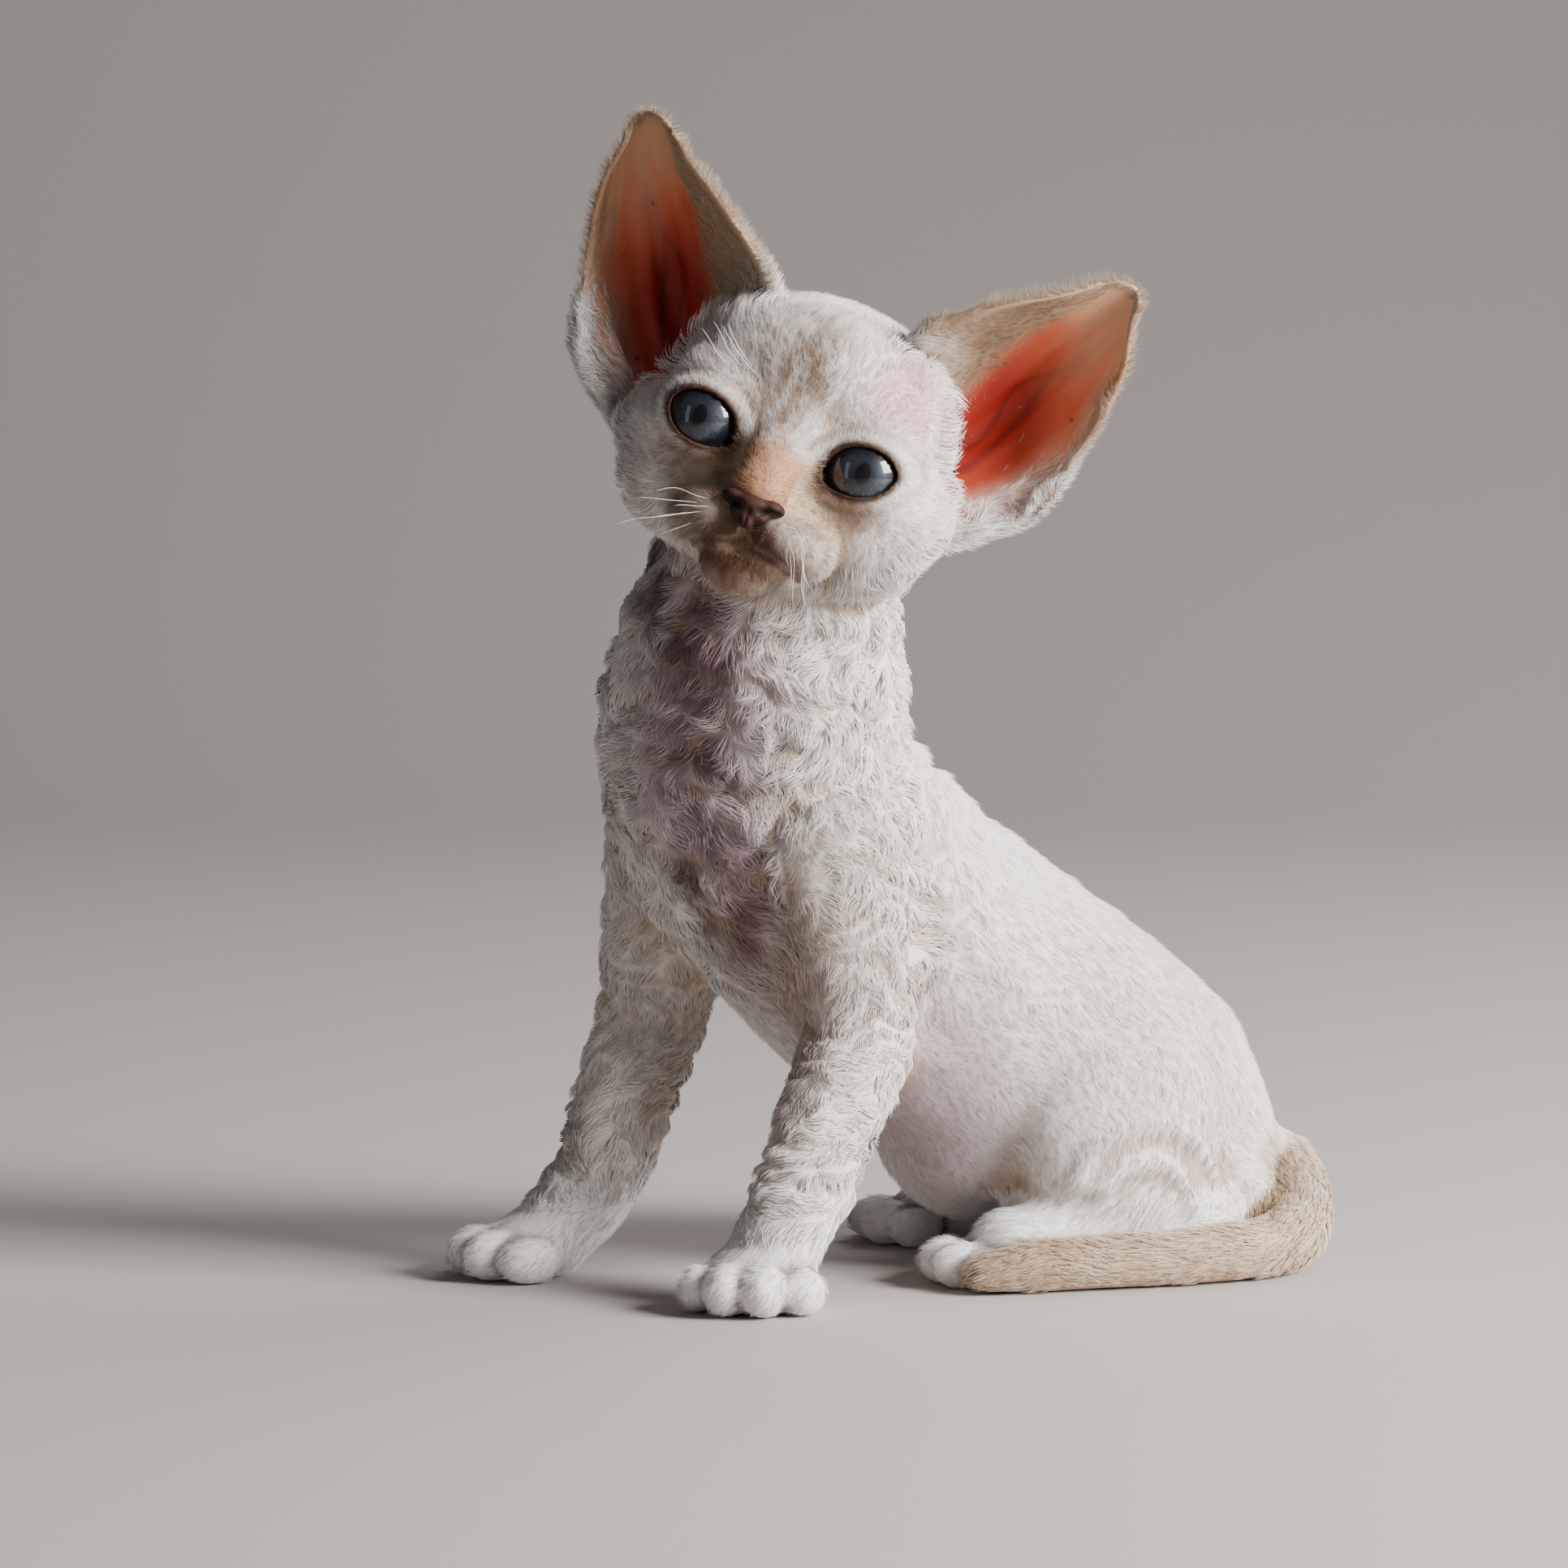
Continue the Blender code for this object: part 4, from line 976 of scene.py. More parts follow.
# Ears: a bowed sheet between two edges, given its wall, with ridges low on its inner face.
ears = {
    "inner": [(12.5, 17, 24), (17, 14.5, 30), (26, 14, 37), (34.5, 15.8, 42.6), (39.6, 18.2, 46.8)],
    "outer": [(30.5, 22, -7), (43.0, 26.5, 3.5), (47.4, 27.0, 18), (49.2, 24.5, 32.5), (47.2, 21.2, 42.6)],
    "cup": [15.0, 16.0, 12.5, 7.5, 2.2], "drop": {1: 3.5, -1: 0.0}, "root": (24, 22, 8),
    "rows": 72, "columns": 48, "wall": 0.9, "slopeReach": 0.02,
    "turnedTo": 0.09, "turnedBy": (-6.0, -1.5, -1.0),
    "tipFrom": 0.66, "tipWay": (0.55, 0, 0.83), "tipRise": 4.4,
    "low": (0.33, 0.020, 0.010), "middle": (0.62, 0.12, 0.05), "high": (0.60, 0.33, 0.19),
    "back": (0.60, 0.45, 0.33), "fur": (0.47, 0.33, 0.21), "lobe": (0.72, 0.46, 0.36),
}


def earPoint(side, up, across):
    t = up * (len(ears["inner"]) - 1)
    inner = curveThrough([Vector(p) for p in ears["inner"]], t)
    outer = curveThrough([Vector(p) for p in ears["outer"]], t)
    depth = curveThrough([Vector((d, 0, 0)) for d in ears["cup"]], t).x
    chord = (outer - inner).normalized()
    back = (Vector((0.25, 1.0, -0.05)) - chord * chord.y).normalized()
    point = inner.lerp(outer, across) + back * depth * math.sin(math.pi * across) ** 0.8
    # the tip is raised in a rounded dome
    raised = float(ramp(np.array(up), ears["tipFrom"], 1.0))
    point += Vector(ears["tipWay"]) * ears["tipRise"] * math.sin(math.pi * across) ** 0.75 * raised
    # the low edge is turned in under the skin, which closes the floor of the cup
    turned = math.sin(math.pi * across) ** 0.5 * (1 - float(ramp(np.array(up), 0.0, ears["turnedTo"])))
    point += Vector(ears["turnedBy"]) * turned
    root = Vector(ears["root"])
    point = Matrix.Rotation(math.radians(ears["drop"][side]), 3, "Y") @ (point - root) + root
    return Vector((side * point.x, point.y, point.z))


def earRelief(up, across):
    low = 1 - ramp(np.array(up), 0.25, 0.75)
    # two ridges low in the cup, and the small pouch at its outer edge
    ridges = 1.3 * np.exp(-(((across - 0.62 - 0.1 * up) / 0.045) ** 2))
    ridges = ridges + 0.9 * np.exp(-(((across - 0.40) / 0.05) ** 2))
    pouch = 1.6 * np.exp(-(((across - 0.88) / 0.05) ** 2) - ((up - 0.18) / 0.14) ** 2)
    return float(low * ridges + pouch)


def earColours(side, mesh):
    # deep red low in the cup, tan towards tip and edges, veins, specks, and dark fur at inner edge and tip
    points, normals = getPoints(mesh), getNormals(mesh)
    head = headAxes(points) * (side, 1, 1)
    facing = (normals @ headArray)[:, 1]
    up, across = readFloat(mesh, "earUp"), readFloat(mesh, "earAcross")
    colours = np.tile(ears["middle"], (len(points), 1))
    streak = cloud(np.stack([across * 16, up * 3.5, up * 0], axis=1), 1.0, 1)
    middle = np.exp(-(((across - 0.52) / 0.24) ** 2))
    red = middle * (1 - ramp(up + 0.10 * streak, 0.22, 0.62))
    colours = mixed(colours, ears["low"], red * 1.5 + 0.35 * streak * red)
    tan = ramp(up + 0.08 * streak, 0.45, 0.85) + 0.8 * ramp(np.abs(across - 0.5), 0.30, 0.44)
    colours = mixed(colours, ears["high"], tan)
    colours = mixed(colours, ears["lobe"], ramp(across, 0.74, 0.88) * (1 - ramp(up, 0.25, 0.5)))
    # painted shade of small folds: darker streaks running up from the base of the cup
    colours *= (1 - 0.22 * ramp(streak, 0.1, 0.8) * (1 - ramp(up, 0.6, 0.9)))[:, None]
    veins = np.exp(-(((across - 0.50 - 0.06 * np.sin(up * 14)) / 0.018) ** 2))
    veins = veins + np.exp(-(((across - 0.68 + 0.3 * up) / 0.022) ** 2))
    colours *= (1 - 0.45 * veins * (1 - ramp(up, 0.30, 0.62)))[:, None]
    speck = ramp(cloud(head, 0.9, 4), 0.84, 0.92) * (1 - ramp(up, 0.7, 0.9))
    colours *= (1 - 0.7 * speck)[:, None]
    furred = ramp(across, 0.40 - 0.20 * up, 0.26 - 0.16 * up)
    darkFur = np.array(ears["fur"]) * 0.9
    colours = mixed(colours, darkFur, np.maximum(furred, ramp(up, 0.90, 0.98)))
    return mixed(colours, ears["back"], ramp(facing, -0.25, 0.15))


def makeEar(side, name, cadName):
    bm = bmesh.new()
    bmesh.ops.create_grid(bm, x_segments=ears["columns"], y_segments=ears["rows"], size=0.5)
    near = ears["slopeReach"]
    grid = []
    for vert in bm.verts:
        up, across = vert.co.y + 0.5, vert.co.x + 0.5
        grid.append((up, across))
        point = earPoint(side, up, across)
        step = earPoint(side, min(up + near, 1), across) - earPoint(side, max(up - near, 0), across)
        cut = earPoint(side, up, min(across + near, 1)) - earPoint(side, up, max(across - near, 0))
        out = cut.cross(step).normalized() * side
        if out.y > 0:
            out = -out
        point = point + out * (earRelief(up, across) - 0.1)
        vert.co = headMatrix @ (point * mm)
    grid = np.array(grid)
    obj = newObject(name, meshFrom(bm, name))
    for number, label in enumerate(("earUp", "earAcross")):
        layer = obj.data.attributes.new(label, "FLOAT", "POINT")
        layer.data.foreach_set("value", grid[:, number].astype(np.float32))
    wall = obj.modifiers.new("wall", "SOLIDIFY")
    wall.thickness = ears["wall"] * mm
    wall.offset = 0.0
    frozen(obj)
    setTint(obj.data, earColours(side, obj.data))
    return finishPiece(obj, earMaterial, "points", cadName)


earPieces = {1: makeEar(1, "pinna_left", "ear_left"), -1: makeEar(-1, "pinna_right", "ear_right")}
print("ears")

# The coat: thin closed tufts with their roots sunk in the skin, in joined meshes. Its values: most triangles
# in a piece, a tuft's thickness by its width, the depth of its root, the lowest place of its tip, the reach
# of its patch on the flat map, tufts to a lock, the range of lengths and widths, thinning at bare skin.
coat = {
    "seed": 23, "most": 190000, "flat": 0.6, "sink": 0.14, "floor": 0.4, "patch": 0.0015,
    "locks": 12, "curlyLocks": 40, "earLocks": 8, "spread": (0.75, 1.2), "thinning": 0.6, "earSoft": 0.25,
}
# Each kind: length, width, lift at root and tip in degrees, sway of the lie, bend, pull into locks, and how
# many stand on a square millimetre.
coatKinds = {
    "face": (2.0, 0.15, 36, 10, 0.35, 0.20, 0.25, 6.8),
    "brow": (3.2, 0.17, 34, 4, 0.55, 0.50, 0.45, 6.0),
    "crown": (2.8, 0.19, 34, 6, 0.60, 0.50, 0.35, 4.2),
    "fluff": (5.0, 0.20, 50, -6, 0.90, 1.10, 0.45, 4.2),
    "wisp": (6.0, 0.17, 66, 6, 1.10, 2.40, 0.35, 3.0),
    "ruff": (5.2, 0.22, 42, -30, 0.95, 1.50, 0.55, 3.3),
    "leg": (3.7, 0.21, 36, -20, 0.85, 1.20, 0.45, 3.3),
    "side": (3.0, 0.20, 22, 6, 0.30, 0.30, 0.38, 3.3),
    "belly": (2.6, 0.17, 28, 6, 0.40, 0.40, 0.30, 3.4),
    "haunch": (2.9, 0.20, 22, 6, 0.26, 0.20, 0.36, 3.6),
    "foot": (2.2, 0.17, 34, 4, 0.35, 0.30, 0.35, 3.8),
    "tail": (4.0, 0.20, 26, 0, 0.30, 0.20, 0.45, 3.4),
}
kinds = list(coatKinds)
# The pieces: the kinds in each, the lengths that a tuft is made of, and how far its shading leans to the
# skin's, which softens it.
coatPieces = {
    "coat_face": (("face",), 1, 0.15),
    "coat_crown": (("crown",), 1, 0.15),
    "coat_brow": (("brow",), 1, 0.2),
    "coat_cheeks": (("fluff",), 2, 0.45),
    "coat_wisps": (("wisp",), 4, 0.4),
    "coat_ruff": (("ruff",), 2, 0.62),
    "coat_forelegs": (("leg",), 2, 0.6),
    "coat_body": (("side", "belly"), 1, 0.3),
    "coat_haunches": (("haunch",), 1, 0.3),
    "coat_feet": (("foot",), 1, 0.2),
    "coat_tail": (("tail",), 2, 0.4),
}
curlyPieces = ("coat_ruff", "coat_forelegs", "coat_cheeks", "coat_wisps")


def kindShares(own, head, names):
    # how much each kind of coat has a say at each place
    x, y, z = own.T
    onHead = (names == "head").astype(float)
    fore = np.char.startswith(names, "fore").astype(float)
    torso = (names == "torso").astype(float)
    facing = ramp(head[:, 1], 22, 8)
    share = {k: np.zeros(len(own)) for k in kinds}
    fluff, wisp = np.zeros(len(own)), np.zeros(len(own))
    for side in (-1, 1):
        fluff = np.maximum(fluff, 1.3 * mound(head, (side * 25, 20, -12), (14, 18, 18)))
        fluff = np.maximum(fluff, 1.2 * mound(head, (side * 18, 12, -20), (10, 14, 9)))
        centre, radii = cupOf(side)
        cup = np.linalg.norm((head - centre) / radii, axis=1)
        rimOfCup = (1 - ramp(cup, 1.25, 1.75)) * ramp(head[:, 1], 30, 22)
        wisp = np.maximum(wisp, rimOfCup)
        wisp = np.maximum(wisp, 0.9 * mound(head, (side * 16, 17, 22), (10, 10, 10)))
    fluff = np.clip(np.maximum(fluff, 0.9 * mound(head, (0, 16, -27), (18, 12, 7))), 0, 1) * (1 - wisp)
    brow = ramp(head[:, 2], 5, 12) * (1 - fluff) * (1 - wisp)
    share["fluff"] = onHead * fluff
    share["wisp"] = onHead * wisp
    share["brow"] = onHead * facing * brow
    share["face"] = onHead * facing * (1 - fluff) * (1 - wisp) * (1 - brow)
    share["crown"] = onHead * (1 - facing) * (1 - fluff) * (1 - wisp)
    low = ramp(z, 18, 8)
    share["foot"] = np.where(names == "tail", 0, low * (1 - onHead))
    share["leg"] = fore * (1 - low)
    ruff = ramp(z, 46, 62) * (1 - ramp(x + 0.35 * (y - 40) + 0.10 * (z - 90), 14, 34))
    belly = mound(own, (24, 36, 36), (26, 26, 42))
    nape = onHead * ramp(z, 151, 141) * ramp(y, 30, 42)
    share["crown"] *= 1 - nape
    share["ruff"] = torso * ruff * (1 - low) + nape
    share["belly"] = torso * (1 - ruff) * belly * (1 - low)
    share["side"] = torso * (1 - ruff) * (1 - belly) * (1 - low)
    thigh = np.char.startswith(names, "thigh") | np.char.startswith(names, "foot")
    share["haunch"] = thigh * (1 - low)
    share["tail"] = (names == "tail").astype(float)
    table = np.stack([share[k] for k in kinds], axis=1) + 1e-6
    return table / table.sum(axis=1, keepdims=True)


def bareShare(points, own, head):
    # 0 where no fur grows: lids, lips, nose leather, the floor of the ears
    keep = np.ones(len(points))
    for side in (-1, 1):
        local = eyeAxes(points, side)
        measure, _reach = lidMeasure(local)
        near = np.linalg.norm(local, axis=1) < eyes["radius"] + eyes["rimZone"]
        keep *= np.where(near, ramp(measure, 1.06, 1.18), 1.0)
        centre, radii = cupOf(side)
        keep *= ramp(np.linalg.norm((head - centre) / radii, axis=1), 0.98, 1.12)
    keep *= ramp(mouthDistance(head), 0.25, 0.8)
    keep *= ramp(np.linalg.norm((head - (0, -10.4, -11.6)) / (5.6, 4.5, 3.1), axis=1), 0.92, 1.05)
    keep *= np.where(own[:, 2] < 1.0, 0.0, 1.0)
    return keep


def lieOf(own, head, names, flow, normals):
    # which way the fur lies: back from the nose on the head, down the limbs elsewhere
    fromNose = unit(head - np.array((0, -14, -8))) + np.array((0, 0.55, 0))
    fromNose[:, 2] -= 0.35 * ramp(np.abs(head[:, 0]), 8, 22) + 0.8 * ramp(-head[:, 2], 14, 24)
    onFace = unit(fromNose @ headArray.T)
    lie = np.where((names == "head")[:, None], onFace, flow)
    blendZone = ((names == "torso") * ramp(own[:, 2], 118, 140))[:, None]
    lie = lie * (1 - blendZone) + np.array((0.1, 0.25, -1.0)) * blendZone
    lie = lie - normals * (lie * normals).sum(axis=1, keepdims=True)
    return unit(lie)


def strandMesh(name, path, up, width, colours, uv, flat, soft):
    # path holds one row of places for each strand, root first and tip last
    count, places = path.shape[:2]
    rings = places - 1
    ahead = np.empty((count, rings, 3))
    ahead[:, 0] = path[:, 1] - path[:, 0]
    ahead[:, 1:] = path[:, 2:] - path[:, :-2]
    ahead = unit(ahead)
    side = unit(np.cross(np.repeat(up[:, None], rings, axis=1), ahead))
    rise = np.cross(ahead, side)
    t = np.arange(rings) / rings
    swell = (0.72 + 0.9 * t) * (1 - t) ** 0.55
    half = width[:, None] * 0.5 * swell[None]
    angles = np.radians((90, 210, 330))
    points = np.empty((count, rings * 3 + 1, 3))
    for i, a in enumerate(angles):
        offset = side * math.cos(a) + rise * math.sin(a) * flat
        points[:, i : rings * 3 : 3] = path[:, :rings] + offset * half[:, :, None]
    points[:, -1] = path[:, -1]
    size = rings * 3 + 1
    quads = []
    for k in range(rings - 1):
        for i in range(3):
            j = (i + 1) % 3
            quads.append((k * 3 + i, k * 3 + j, k * 3 + 3 + j, k * 3 + 3 + i))
    last = (rings - 1) * 3
    threes = [(last + i, last + (i + 1) % 3, size - 1) for i in range(3)] + [(0, 2, 1)]
    shape = [corner for face in quads + threes for corner in face]
    lengths = [4] * len(quads) + [3] * len(threes)
    starts = np.concatenate([[0], np.cumsum(lengths)[:-1]])
    base = np.arange(count)[:, None]
    loops = (base * size + np.array(shape)[None]).ravel()
    begin = (base * len(shape) + starts[None]).ravel()
    mesh = bpy.data.meshes.new(name)
    mesh.vertices.add(count * size)
    mesh.vertices.foreach_set("co", points.astype(np.float32).ravel())
    mesh.loops.add(len(loops))
    mesh.loops.foreach_set("vertex_index", loops.astype(np.int32))
    mesh.polygons.add(len(begin))
    mesh.polygons.foreach_set("loop_start", begin.astype(np.int32))
    layer = mesh.uv_layers.new(name="OFBake")
    around = 2 * math.pi * (np.arange(size) % 3) / 3 + 0.6 * np.arange(size)
    reach = coat["patch"] * (1 - 0.25 * (np.arange(size) // 3) / max(rings, 1))
    spread = np.stack([np.cos(around) * reach, np.sin(around) * reach], axis=1)
    spots = uv[:, None] + spread[None]
    corners = spots[:, shape]
    layer.data.foreach_set("uv", corners.astype(np.float32).ravel())
    mesh.update(calc_edges=True)
    # painted shade: each tuft is darker at its root, deep in the coat, and lighter at its tip
    depth = np.concatenate([np.repeat(t, 3), [1.0]])
    shade = (0.88 + 0.16 * depth)[None, :, None]
    setTint(mesh, np.clip(colours[:, None] * shade, 0, 0.95).reshape(-1, 3))
    # the shading leans towards the skin's own direction, as light does in a deep soft coat
    shading = np.empty_like(points)
    for i, a in enumerate(angles):
        shading[:, i : rings * 3 : 3] = side * math.cos(a) + rise * math.sin(a)
    shading[:, -1] = up
    shading = unit(shading * (1 - soft) + up[:, None] * soft).reshape(-1, 3)
    mesh.polygons.foreach_set("use_smooth", np.ones(len(mesh.polygons), dtype=bool))
    mesh.normals_split_custom_set_from_vertices(shading.astype(np.float32))
    return newObject(name, mesh)


def atlas(cell, across, up):
    # one cell of the flat map for each chain of the body or face of an ear
    columns = 4
    u = (cell % columns + 0.04 + 0.92 * across) / columns
    v = (cell // columns + 0.04 + 0.92 * up) / columns
    return np.stack([u, v], axis=1)


def tuftPaths(roots, normals, lie, values, rings, draw, own):
    length, _width, lift, liftEnd, sway, bend = values[:6]
    side = np.cross(normals, lie)
    turn = sway * (cloud(own, 6.5, 1) * 1.6 + cloud(own, 3.0, 2) * 0.5) + draw.normal(0, 0.16, len(roots))
    curl = bend * (cloud(own, 5.5, 5) * 2.2 + draw.normal(0, 0.2, len(roots)))
    length = length * draw.uniform(*coat["spread"], len(roots)) * mm
    path = np.empty((len(roots), rings + 1, 3))
    path[:, 0] = roots - normals * coat["sink"] * mm
    for k in range(rings):
        t = (k + 0.5) / rings
        a = turn + curl * (t - 0.2)
        rise = np.radians(lift * (1 - t) + liftEnd * t) * draw.uniform(0.8, 1.2, len(roots))
        flatWay = np.cos(a)[:, None] * lie + np.sin(a)[:, None] * side
        way = np.cos(rise)[:, None] * flatWay + np.sin(rise)[:, None] * normals
        path[:, k + 1] = path[:, k] + way * (length / rings)[:, None]
    return path


def gather(path, pull, spacing, draw):
    # tips are drawn towards the nearest leading tuft, which makes locks
    leaders = np.flatnonzero(draw.random(len(path)) < 1 / spacing)
    tree = KDTree(len(leaders))
    for number, index in enumerate(leaders):
        tree.insert(path[index, 0], number)
    tree.balance()
    chosen = leaders[[tree.find(p)[1] for p in path[:, 0]]]
    target = path[chosen]
    rings = path.shape[1] - 1
    for k in range(1, rings + 1):
        share = (pull * (k / rings) ** 1.2)[:, None]
        path[:, k] += (target[:, k] - path[:, k]) * share
    return path


def scatterOn(mesh, density, draw):
    # places on a mesh, drawn by area times density
    mesh.calc_loop_triangles()
    corners = np.empty(len(mesh.loop_triangles) * 3, dtype=np.int32)
    mesh.loop_triangles.foreach_get("vertices", corners)
    corners = corners.reshape(-1, 3)
    points, normals = getPoints(mesh), getNormals(mesh)
    a, b, c = (points[corners[:, i]] for i in range(3))
    area = np.linalg.norm(np.cross(b - a, c - a), axis=1) / 2
    weight = area * density[corners].mean(axis=1)
    total = np.cumsum(weight)
    count = int(total[-1] / mm**2)
    picked = np.searchsorted(total, draw.random(count) * total[-1])
    u, v = draw.random(count), draw.random(count)
    flip = u + v > 1
    u[flip], v[flip] = 1 - u[flip], 1 - v[flip]
    share = np.stack([1 - u - v, u, v], axis=1)
    chosen = corners[picked]
    spots = (points[chosen] * share[:, :, None]).sum(1)
    facing = unit((normals[chosen] * share[:, :, None]).sum(1))
    return spots, facing, chosen, share


def coatPiece(name, path, up, width, colours, uv, flat, slot, soft):
    trianglesEach = (path.shape[1] - 2) * 6 + 4
    most = coat["most"] // trianglesEach
    parts = max(1, math.ceil(len(path) / most))
    for k in range(parts):
        pick = slice(k * len(path) // parts, (k + 1) * len(path) // parts)
        label = f"{name}_{k + 1}" if parts > 1 else name
        obj = strandMesh(label, path[pick], up[pick], width[pick], colours[pick], uv[pick], flat, soft)
        finishPiece(obj, coatMaterial, slot)
        print(label, len(obj.data.vertices), "points")


def makeCoat():
    draw = np.random.default_rng(coat["seed"])
    points = getPoints(skin.data)
    own, head = ownAxes(points), headAxes(points)
    shares = kindShares(own, head, np.array(zoneNames)[readZones(own)[0]])
    table = np.array([coatKinds[k] for k in kinds])
    density = (shares @ table[:, 7]) * bareShare(points, own, head)
    roots, normals, chosen, share = scatterOn(skin.data, density, draw)
    hollow = (skinHollows[chosen] * share).sum(1)
    own, head = ownAxes(roots), headAxes(roots)
    zone, along, spin, flow = readZones(own)
    names = np.array(zoneNames)[zone]
    shares = kindShares(own, head, names)
    values = (shares @ table).T
    keep = bareShare(roots, own, head) > draw.random(len(roots)) * coat["thinning"]
    lie = lieOf(own, head, names, flow, normals)
    colours = markingsAndShade(roots, hollow) * np.clip(draw.normal(1.02, 0.10, (len(roots), 1)), 0.7, 1.2)
    uv = atlas(zone, spin, along)
    main = shares.argmax(axis=1)
    for label, (members, rings, soft) in coatPieces.items():
        pick = keep & np.isin(main, [kinds.index(m) for m in members])
        part = values[:, pick]
        path = tuftPaths(roots[pick], normals[pick], lie[pick], part, rings, draw, own[pick])
        path = gather(path, part[6], coat["curlyLocks" if label in curlyPieces else "locks"], draw)
        path[:, :, 2] = np.maximum(path[:, :, 2], coat["floor"] * mm)
        width = part[1] * draw.uniform(*coat["spread"], pick.sum()) * mm
        coatPiece(label, path, normals[pick], width, colours[pick], uv[pick], coat["flat"], "coat", soft)


# The ears' coat, as above: how thickly it stands comes from the place on the ear.
earCoat = {
    "outside": (2.4, 0.17, 30, 6, 0.45, 0.4, 0.35),
    "inside": (2.5, 0.14, 34, 10, 0.6, 0.6, 0.3),
    "rim": (2.1, 0.11, 40, 12, 0.9, 0.8, 0.3),
    "lobe": (3.6, 0.18, 44, 0, 1.0, 1.6, 0.35),
}


def makeEarCoat(side, obj):
    draw = np.random.default_rng(coat["seed"] + 10 + side)
    mesh = obj.data
    up, across = readFloat(mesh, "earUp"), readFloat(mesh, "earAcross")
    normals = getNormals(mesh)
    outside = ramp((normals @ headArray)[:, 1], -0.1, 0.25)
    rim = np.maximum(ramp(np.abs(across - 0.5), 0.455, 0.49), ramp(up, 0.955, 0.985))
    lobe = ramp(across, 0.80, 0.90) * (1 - ramp(up, 0.25, 0.5))
    lobe = lobe + 0.8 * ramp(across, 0.16, 0.05) * (1 - ramp(up, 0.05, 0.35))
    band = np.maximum(ramp(across, 0.92, 0.97), ramp(up, 0.90, 0.97))
    band = np.maximum(ramp(across, 0.42 - 0.20 * up, 0.28 - 0.16 * up), band)
    density = outside * 4.4 + rim * 8.0 + (1 - outside) * (0.05 + 9.0 * band + 3.0 * lobe)
    roots, normals, chosen, share = scatterOn(mesh, density, draw)
    up, across = (up[chosen] * share).sum(1), (across[chosen] * share).sum(1)
    outside, rim, lobe = ((v[chosen] * share).sum(1) for v in (outside, rim, lobe))
    head = headAxes(roots)
    towardTip = unit(np.array((side * 46.0, 20.0, 49.0)) - head)
    outward = np.array((side * 1.0, 0, -0.2)) * np.sign(across - 0.5)[:, None]
    lie = unit(towardTip + outward * (0.25 + 0.9 * np.maximum(rim, lobe))[:, None])
    lie[:, 1] -= 0.3 * rim
    lie = lie @ headArray.T
    lie = unit(lie - normals * (lie * normals).sum(1, keepdims=True) * (1 - 0.6 * rim)[:, None])
    values = np.array(earCoat["outside"])[:, None] * np.ones(len(roots))
    for kind, amount in (("inside", 1 - outside), ("rim", rim), ("lobe", np.clip(lobe, 0, 1))):
        values = values + (np.array(earCoat[kind])[:, None] - values) * amount
    lower = ramp(head[:, 2] + 6 * cloud(head, 5.0, 1), 30, 6)
    pale = lower * 0.95 + lobe * 0.8 + 0.55 * outside * (1 - rim)
    colours = mixed(np.array(ears["fur"]), tints["cream"], pale)
    colours = colours * np.clip(draw.normal(1.0, 0.2, (len(roots), 1)), 0.5, 1.4)
    uv = atlas(np.full(len(roots), len(zoneNames) + (0 if side > 0 else 2)) + (outside > 0.5), across, up)
    label = "coat_ear_left" if side > 0 else "coat_ear_right"
    for name, pick, rings in ((label, lobe < 0.3, 1), (label + "_base", lobe >= 0.3, 2)):
        part = values[:, pick]
        path = tuftPaths(roots[pick], normals[pick], lie[pick], part, rings, draw, head[pick])
        path = gather(path, part[6], coat["earLocks"], draw)
        width = part[1] * draw.uniform(*coat["spread"], pick.sum()) * mm
        look = (coat["flat"], "points", coat["earSoft"])
        coatPiece(name, path, normals[pick], width, colours[pick], uv[pick], *look)


makeCoat()
for side, obj in earPieces.items():
    makeEarCoat(side, obj)

# Whiskers on the pads, longer hairs over the eyes.
whiskers = {
    "width": 0.13, "rings": 9, "colour": (0.88, 0.85, 0.80), "kink": 0.07, "flat": 1.0, "soft": 0.45,
    # start on the pad (x, z), then reach, rise and forward lean, and droop at the tip
    "pads": [
        (8.0, -12.6, 13, 0.10, -0.35, -0.2), (9.6, -14.0, 15, -0.05, -0.30, 0.1),
        (8.2, -15.2, 12, -0.25, -0.35, 0.3), (10.4, -16.0, 13, -0.35, -0.2, 0.2),
        (9.0, -17.4, 9, -0.6, -0.3, 0.5), (11.2, -17.8, 10, -0.7, -0.1, 0.4),
        (7.0, -13.8, 8, -0.1, -0.7, 0.2),
    ],
    "brows": [
        (8.2, 10.5, 13, 0.7, -0.45, -0.3), (9.6, 11.5, 15, 0.9, -0.4, -0.4),
        (11.6, 11.2, 14, 0.75, -0.4, -0.5), (13.5, 10.6, 10, 0.6, -0.4, -0.3),
    ],
}


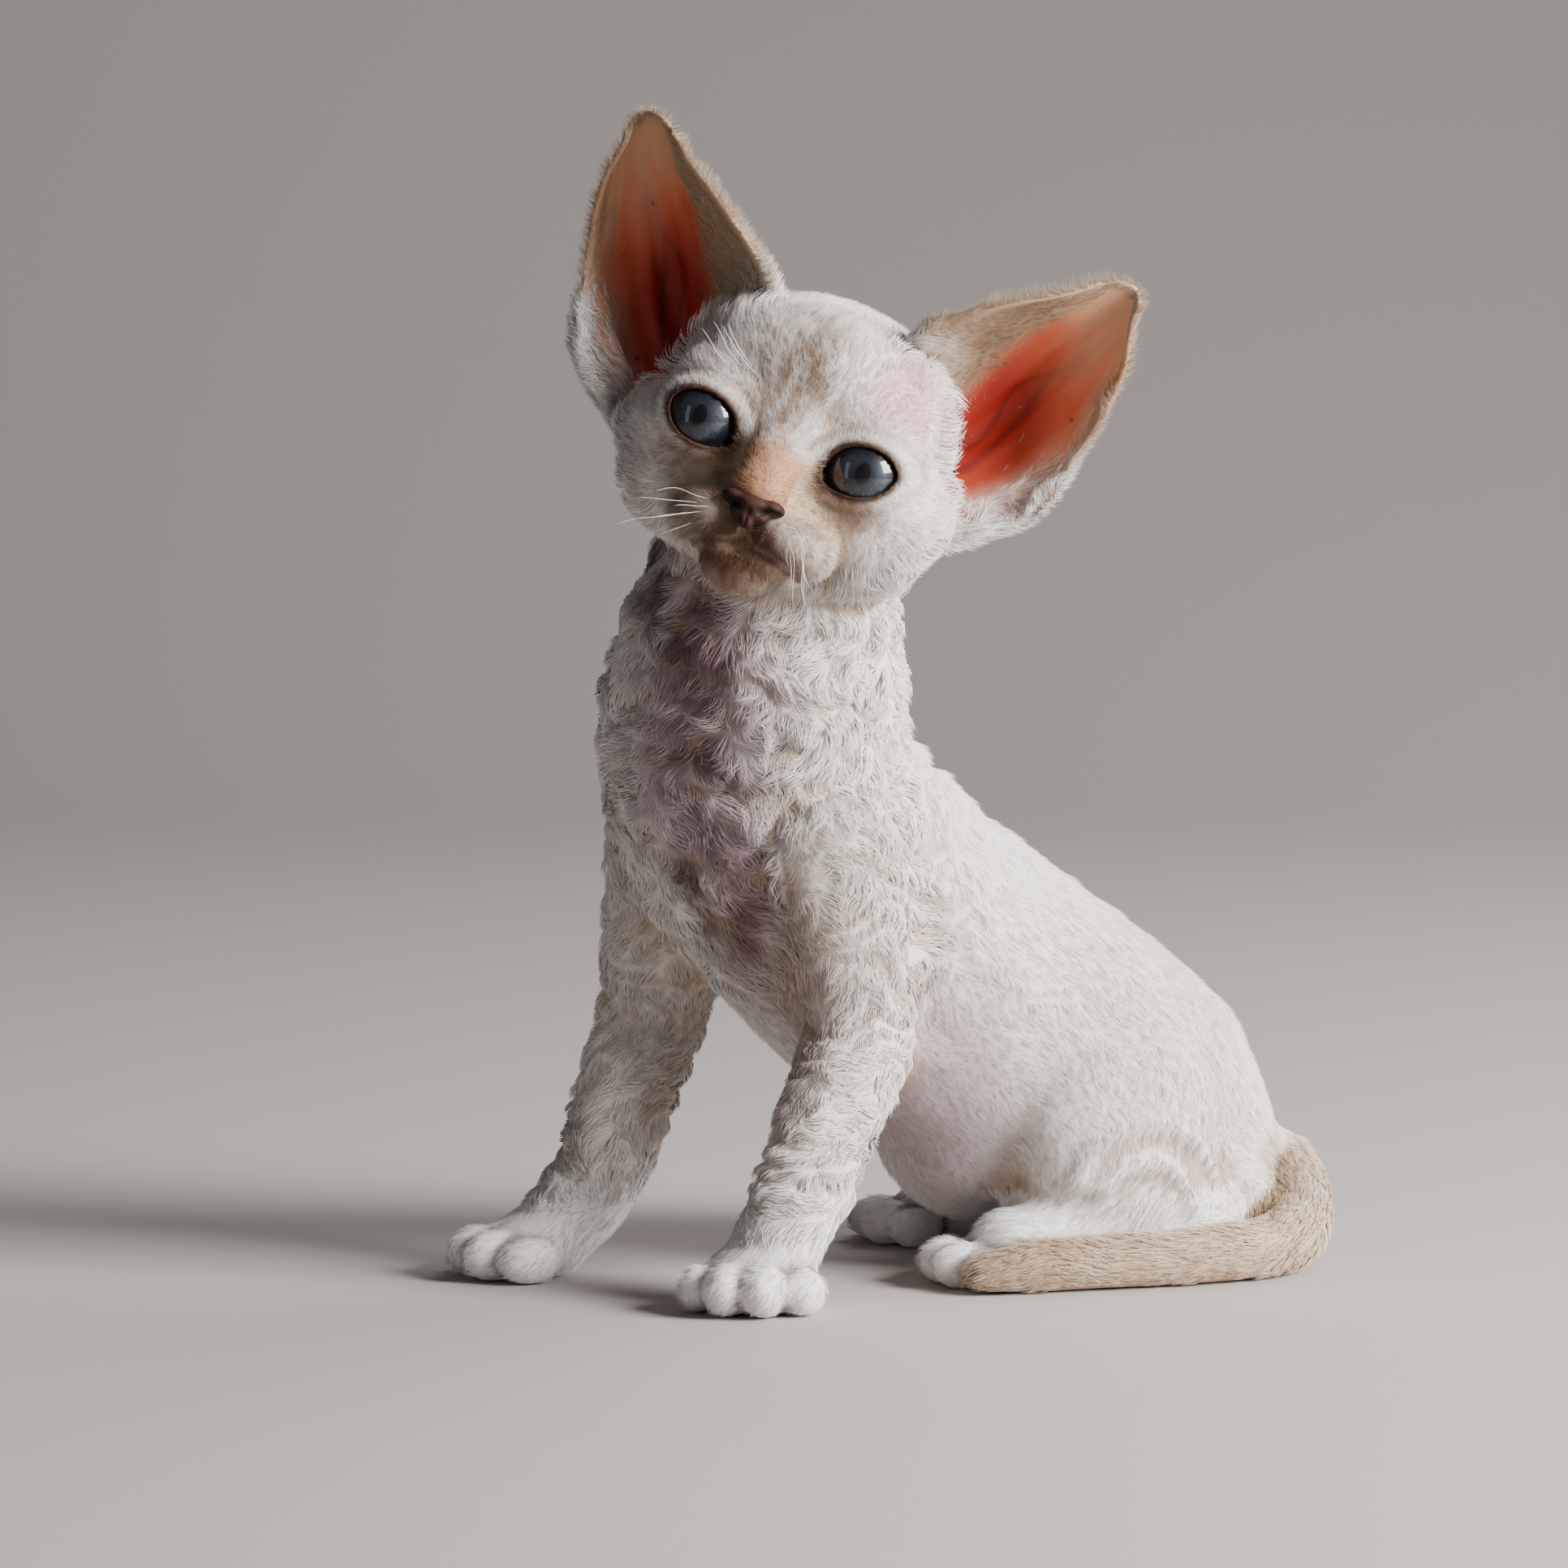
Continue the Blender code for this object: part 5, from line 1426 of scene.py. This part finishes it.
def makeWhiskers():
    draw = np.random.default_rng(coat["seed"] + 40)
    tree = treeOf(skin.data)
    forward = headTurn.col[1]
    paths, ups, sizes = [], [], []
    for side in (-1, 1):
        for row in ("pads", "brows"):
            onPad = row == "pads"
            for x, z, reach, rise, lean, droop in whiskers[row]:
                start = tree.ray_cast(inHead(side * x, -40, z), forward)[0]
                if start is None:
                    continue
                # on the left the whiskers hang close to the cheek
                low = side > 0 and onPad
                way = Vector((side * (0.55 if low else 1.0), lean, rise - (0.7 if low else 0.0)))
                way = (headTurn @ way).normalized()
                bow = headTurn @ Vector((side * 0.3, 0.5, -1.0 if onPad else 0.2))
                reach = reach * draw.uniform(0.45, 0.85)
                points, turns = [], draw.uniform(3.0, 7.0)
                for k in range(whiskers["rings"] + 1):
                    t = k / whiskers["rings"]
                    wave = bow * (0.22 + 0.35 * abs(droop)) * t * t * reach
                    wave = wave + way.cross(bow) * math.sin(t * turns) * whiskers["kink"] * reach
                    points.append(start + (way * reach * t + wave) * mm)
                points[0] = start - way * 0.8 * mm
                paths.append(points)
                ups.append(headTurn @ Vector((0.1, -0.2, 1)))
                sizes.append(whiskers["width"] * draw.uniform(0.7, 1.1) * mm)
    path = np.array([[list(p) for p in row] for row in paths])
    head = headAxes(path[:, 0])
    uv = atlas(np.zeros(len(path), int), 0.5 + head[:, 0] / 120, 0.5 + head[:, 2] / 120)
    colours = np.tile(whiskers["colour"], (len(path), 1))
    ups = np.array([list(up) for up in ups])
    look = (whiskers["flat"], "coat", whiskers["soft"])
    coatPiece("whiskers", path, ups, np.array(sizes), colours, uv, *look)


makeWhiskers()

# Stage, light and camera. The floor is in metres, the camera's place in millimetres, and its focus in the
# photo's pixels.
stage = {
    "floor": 4.0, "sweepStart": 0.9, "sweepRadius": 0.9, "colour": (0.46, 0.42, 0.40, 1), "roughness": 0.8,
    "air": (0.62, 0.58, 0.57, 1), "airLight": 0.10,
}
view = {"distance": 1250.0, "height": 205.0, "tilt": 5.03, "focus": 8750.0, "pixels": 1932, "sensor": 36.0}
# each light: name, place, width and height in metres, watts and colour
lightAim = (0.0, 0.0, 0.13)
lights = [
    ("window", (0.95, -0.46, 0.54), 0.50, 0.56, 46.0, (1.0, 0.98, 0.96)),
    ("fill", (-0.85, -0.70, 0.42), 0.20, 0.8, 0.8, (0.95, 0.96, 1.0)),
    ("overhead", (0.62, 0.50, 0.95), 0.8, 0.7, 7.0, (1.0, 0.98, 0.96)),
]


def makeStage():
    bm = bmesh.new()
    bmesh.ops.create_grid(bm, x_segments=1, y_segments=160, size=stage["floor"])
    for vert in bm.verts:
        beyond = vert.co.y - stage["sweepStart"]
        turn = min(max(beyond, 0) / stage["sweepRadius"], math.pi / 2)
        if beyond > 0:
            rest = max(0.0, beyond - stage["sweepRadius"] * math.pi / 2)
            vert.co.y = stage["sweepStart"] + stage["sweepRadius"] * math.sin(turn)
            vert.co.z = stage["sweepRadius"] * (1 - math.cos(turn)) + rest
    floor = newObject("floor", meshFrom(bm, "floor"))
    floor.data.shade_smooth()
    material, tree, shader = shaderOf("paleFloor")
    shader.inputs["Base Color"].default_value = stage["colour"]
    shader.inputs["Roughness"].default_value = stage["roughness"]
    grainBump(tree, shader, 120.0, 0.1, 0.0005)
    floor.data.materials.append(material)
    world = bpy.data.worlds.new("studio")
    bpy.context.scene.world = world
    world.use_nodes = True
    background = world.node_tree.nodes["Background"]
    background.inputs["Color"].default_value = stage["air"]
    background.inputs["Strength"].default_value = stage["airLight"]


def makeLight(name, spot, width, height, power, colour):
    light = bpy.data.lights.new(name, "AREA")
    light.shape = "RECTANGLE"
    light.size, light.size_y = width, height
    light.energy = power
    light.color = colour
    obj = bpy.data.objects.new(name, light)
    obj.location = spot
    obj.rotation_euler = (Vector(lightAim) - Vector(spot)).to_track_quat("-Z", "Y").to_euler()
    bpy.context.scene.collection.objects.link(obj)


def makeCamera():
    camera = bpy.data.cameras.new("camera")
    camera.sensor_width = view["sensor"]
    camera.lens = view["sensor"] * view["focus"] / view["pixels"]
    camera.clip_start, camera.clip_end = 0.05, 20
    obj = bpy.data.objects.new("camera", camera)
    obj.location = place(0, -view["distance"], view["height"])
    obj.rotation_euler = (math.radians(90 - view["tilt"]), 0, 0)
    bpy.context.scene.collection.objects.link(obj)
    bpy.context.scene.camera = obj


makeStage()
for light in lights:
    makeLight(*light)
makeCamera()
print("stage")
